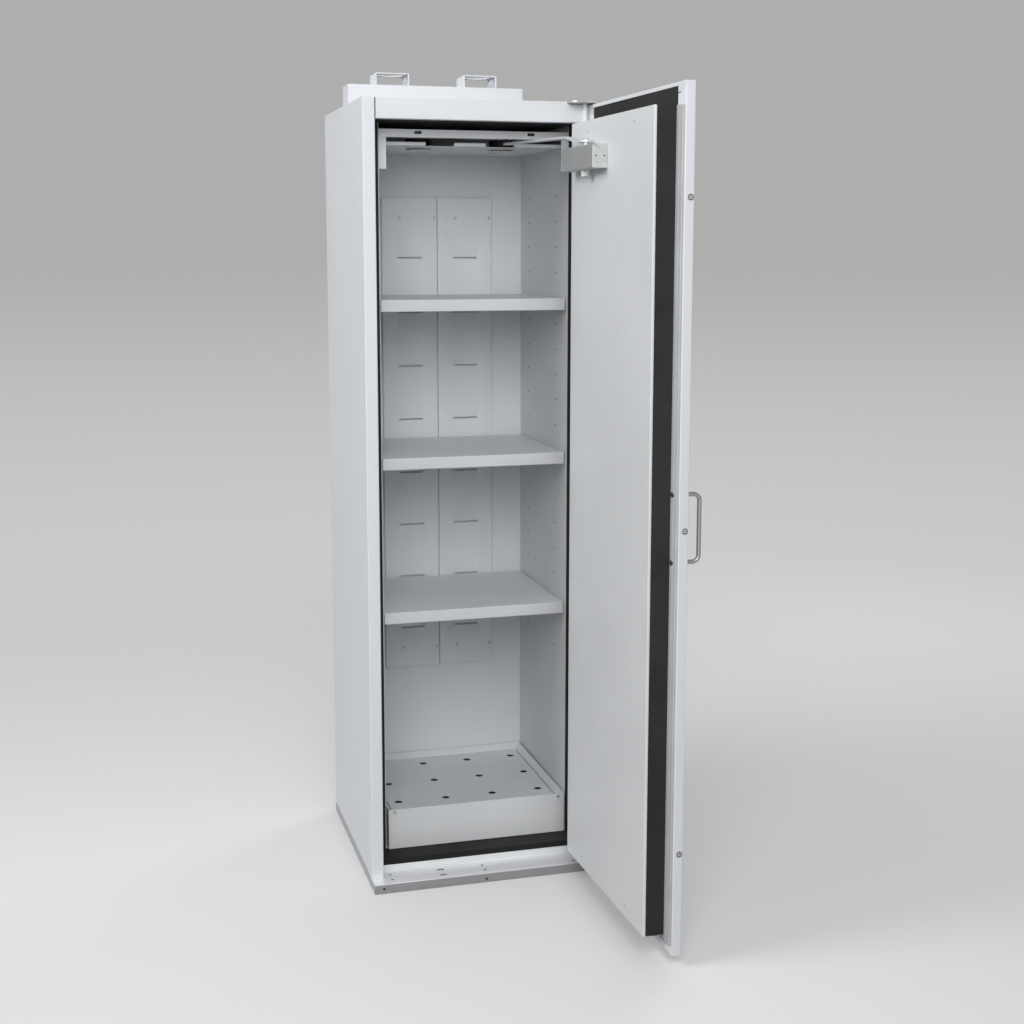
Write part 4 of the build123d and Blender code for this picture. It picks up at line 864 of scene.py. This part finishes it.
# %% Seams in the pan's upper corners
SEAM_WIDTH, SEAM_SINK, SEAM_PROUD = 0.0008, 0.0002, 0.0003
SEAM_MARGIN, SEAM_RUN, SEAM_HIGH, SEAM_LOW = 0.0006, 0.013, 0.002, 0.0205
high, low = pan_high.z - SEAM_HIGH, pan_high.z - SEAM_LOW
seams = {"free": (pan_low.x + SEAM_MARGIN, SEAM_RUN), "hinge": (pan_high.x - SEAM_MARGIN, -SEAM_RUN)}
for side, (edge, run) in seams.items():
    outline = [(edge, high), (edge + run, low), (edge + run, low - SEAM_WIDTH), (edge, high - SEAM_WIDTH)]
    drawn(outline, Y_AXIS, inner - SEAM_SINK, inner + SEAM_PROUD, side + "_mitre_seam",
          "door", "base_coat", to_open)

# %% [markdown]
# ## Floor
# A pale floor carries the shadow and fades into the background, so no horizon line shows.
# The fade is a plain glow that grows with the distance from the cabinet. It is seen by the camera
# and in reflections only, so it adds no light to the object, and the floor bounces less light than
# its tone would.

# %% Rays that see the stage
BACKDROP = (0.42, 0.425, 0.42)


def seen_rays(tree):
    """One for rays that show the stage or its image in metal and glass, nought for bounced light."""
    rays = tree.nodes.new("ShaderNodeLightPath").outputs
    shown = maths(tree, "MAXIMUM", rays["Is Camera Ray"], rays["Is Glossy Ray"])
    return maths(tree, "MAXIMUM", shown, rays["Is Transmission Ray"])


def mixed_tone(tree, share, first, second):
    """A colour between two, by a share."""
    return add_node(tree, "ShaderNodeMix", {"data_type": "RGBA"}, Factor=share,
                    A=(*first, 1), B=(*second, 1)).outputs["Result"]


def show_mix(tree, share, first, second):
    """Puts a mix of two shaders on a tree's output."""
    mix = tree.nodes.new("ShaderNodeMixShader")
    for socket, value in zip(mix.inputs, (share, first.outputs[0], second.outputs[0])):
        feed(tree, socket, value)
    output = next(node for node in tree.nodes if node.type in ("OUTPUT_MATERIAL", "OUTPUT_WORLD"))
    feed(tree, output.inputs["Surface"], mix.outputs[0])


print("backdrop tone:", BACKDROP)

# %% Floor with a fade
FLOOR_SIZE, FLOOR_SIDES = 150.0, 96
FLOOR_TONE = (0.75, 0.75, 0.755)
FLOOR_BOUNCE = (0.28, 0.28, 0.285)
FLOOR_GLOW = (0.63, 0.63, 0.63)
FLOOR_ROUGHNESS, FLOOR_SPECULAR = 0.9, 0.1
FADE_START, FADE_END = 0.3, 4.5
GLOW_REACH = 12.0


def floor_finish():
    """A matt floor near the cabinet that turns into a glow of the backdrop's tone far away."""
    material, tree, shader, place = new_finish("pale_floor", FLOOR_ROUGHNESS)
    shader.inputs["Specular IOR Level"].default_value = FLOOR_SPECULAR
    seen = seen_rays(tree)
    feed(tree, shader.inputs["Base Color"], mixed_tone(tree, seen, FLOOR_BOUNCE, FLOOR_TONE))
    length = add_node(tree, "ShaderNodeVectorMath", {"operation": "LENGTH"}, Vector=place)
    distance = length.outputs["Value"]
    smooth = {"interpolation_type": "SMOOTHSTEP"}
    fade = add_node(tree, "ShaderNodeMapRange", smooth, Value=distance,
                    From_Min=FADE_START, From_Max=FADE_END)
    far = maths(tree, "DIVIDE", distance, maths(tree, "ADD", distance, GLOW_REACH))
    haze = add_node(tree, "ShaderNodeMapRange", smooth, Value=far).outputs["Result"]
    glow = add_node(tree, "ShaderNodeEmission", Strength=seen,
                    Color=mixed_tone(tree, haze, FLOOR_GLOW, BACKDROP))
    show_mix(tree, fade.outputs["Result"], shader, glow)
    return material


def stage_floor():
    """A wide round floor."""
    mesh = bmesh.new()
    bmesh.ops.create_circle(mesh, cap_ends=True, segments=FLOOR_SIDES, radius=FLOOR_SIZE)
    data = bpy.data.meshes.new("floor")
    mesh.to_mesh(data)
    mesh.free()
    floor = bpy.data.objects.new("floor", data)
    scene.collection.objects.link(floor)
    data.materials.append(floor_finish())
    return floor


print("floor:", stage_floor().name, "fades between", FADE_START, "and", FADE_END, "m")

# %% [markdown]
# ## World
# The world gives a weak even light from all sides, as the walls of a white studio do. What the camera
# sees of it is the backdrop's grey, so the background's tone can be set without changing the light.

# %% Studio world
WORLD_LIGHT = 0.42


def studio_world():
    """White light from all sides, with the backdrop's tone where it is seen."""
    world = bpy.data.worlds.new("studio")
    scene.world = world
    world.use_nodes = True
    tree = world.node_tree
    light = next(node for node in tree.nodes if node.type == "BACKGROUND")
    light.inputs["Color"].default_value = (1.0, 1.0, 1.0, 1)
    light.inputs["Strength"].default_value = WORLD_LIGHT
    backdrop = add_node(tree, "ShaderNodeBackground", Color=(*BACKDROP, 1), Strength=1.0)
    show_mix(tree, seen_rays(tree), light, backdrop)


studio_world()
scene.view_settings.view_transform = "Standard"
print("world light:", WORLD_LIGHT)

# %% [markdown]
# ## Lamps
# Four broad round lamps stand in for soft boxes. The key lamp shines from above the camera,
# the front lamp reaches into the cabinet, the side lamp models the left wall
# and the rear lamp keeps the far sides from going dark. A broad lamp gives a soft shadow.

# %% Soft lamps
LAMPS = {  # place, aim, size in metres, power in watts
    "key_lamp": ((-0.8, -3.7, 3.0), (0, -0.2, 1.5), 2.4, 79.0),
    "front_lamp": ((-1.5, -5.2, 1.3), (0, 0, 1.6), 2.6, 25.0),
    "side_lamp": ((-4.0, -0.8, 3.8), (0, -0.2, 1.7), 2.4, 114.0),
    "rear_lamp": ((3.8, 3.0, 2.4), (0, 0, 1.0), 2.6, 66.0),
}
for name, (place, aim, size, power) in LAMPS.items():
    lamp = bpy.data.lights.new(name, "AREA")
    lamp.shape = "DISK"
    lamp.size = size
    lamp.energy = power
    holder = bpy.data.objects.new(name, lamp)
    holder.location = place
    holder.rotation_euler = (Vector(aim) - Vector(place)).to_track_quat("-Z", "Y").to_euler()
    holder.visible_camera = False
    scene.collection.objects.link(holder)
print("lamps:", list(LAMPS))

# %% [markdown]
# ## Camera
# The camera stands at eye height, a little to the left of the door opening, as the photographer did.
# Its place, turn and lens were fitted to corners of the cabinet. A small lens shift takes over part of
# the tilt, so the uprights lean less.

# %% Portrait camera
CAMERA_PLACE = (-0.9455, -3.8202, 1.5965)
CAMERA_YAW, CAMERA_PITCH = 15.486, 8.2045
CAMERA_SENSOR, CAMERA_LENS = 36.0, 52.90
CAMERA_SHIFT = (0.0095, -0.045)
camera_data = bpy.data.cameras.new("portrait")
camera_data.sensor_width = CAMERA_SENSOR
camera_data.lens = CAMERA_LENS
camera_data.shift_x, camera_data.shift_y = CAMERA_SHIFT
camera = bpy.data.objects.new("portrait", camera_data)
camera.location = CAMERA_PLACE
camera.rotation_euler = Euler((math.radians(90 - CAMERA_PITCH), 0, math.radians(-CAMERA_YAW)))
scene.collection.objects.link(camera)
scene.camera = camera
print("camera:", CAMERA_LENS, "mm lens at", CAMERA_PLACE)
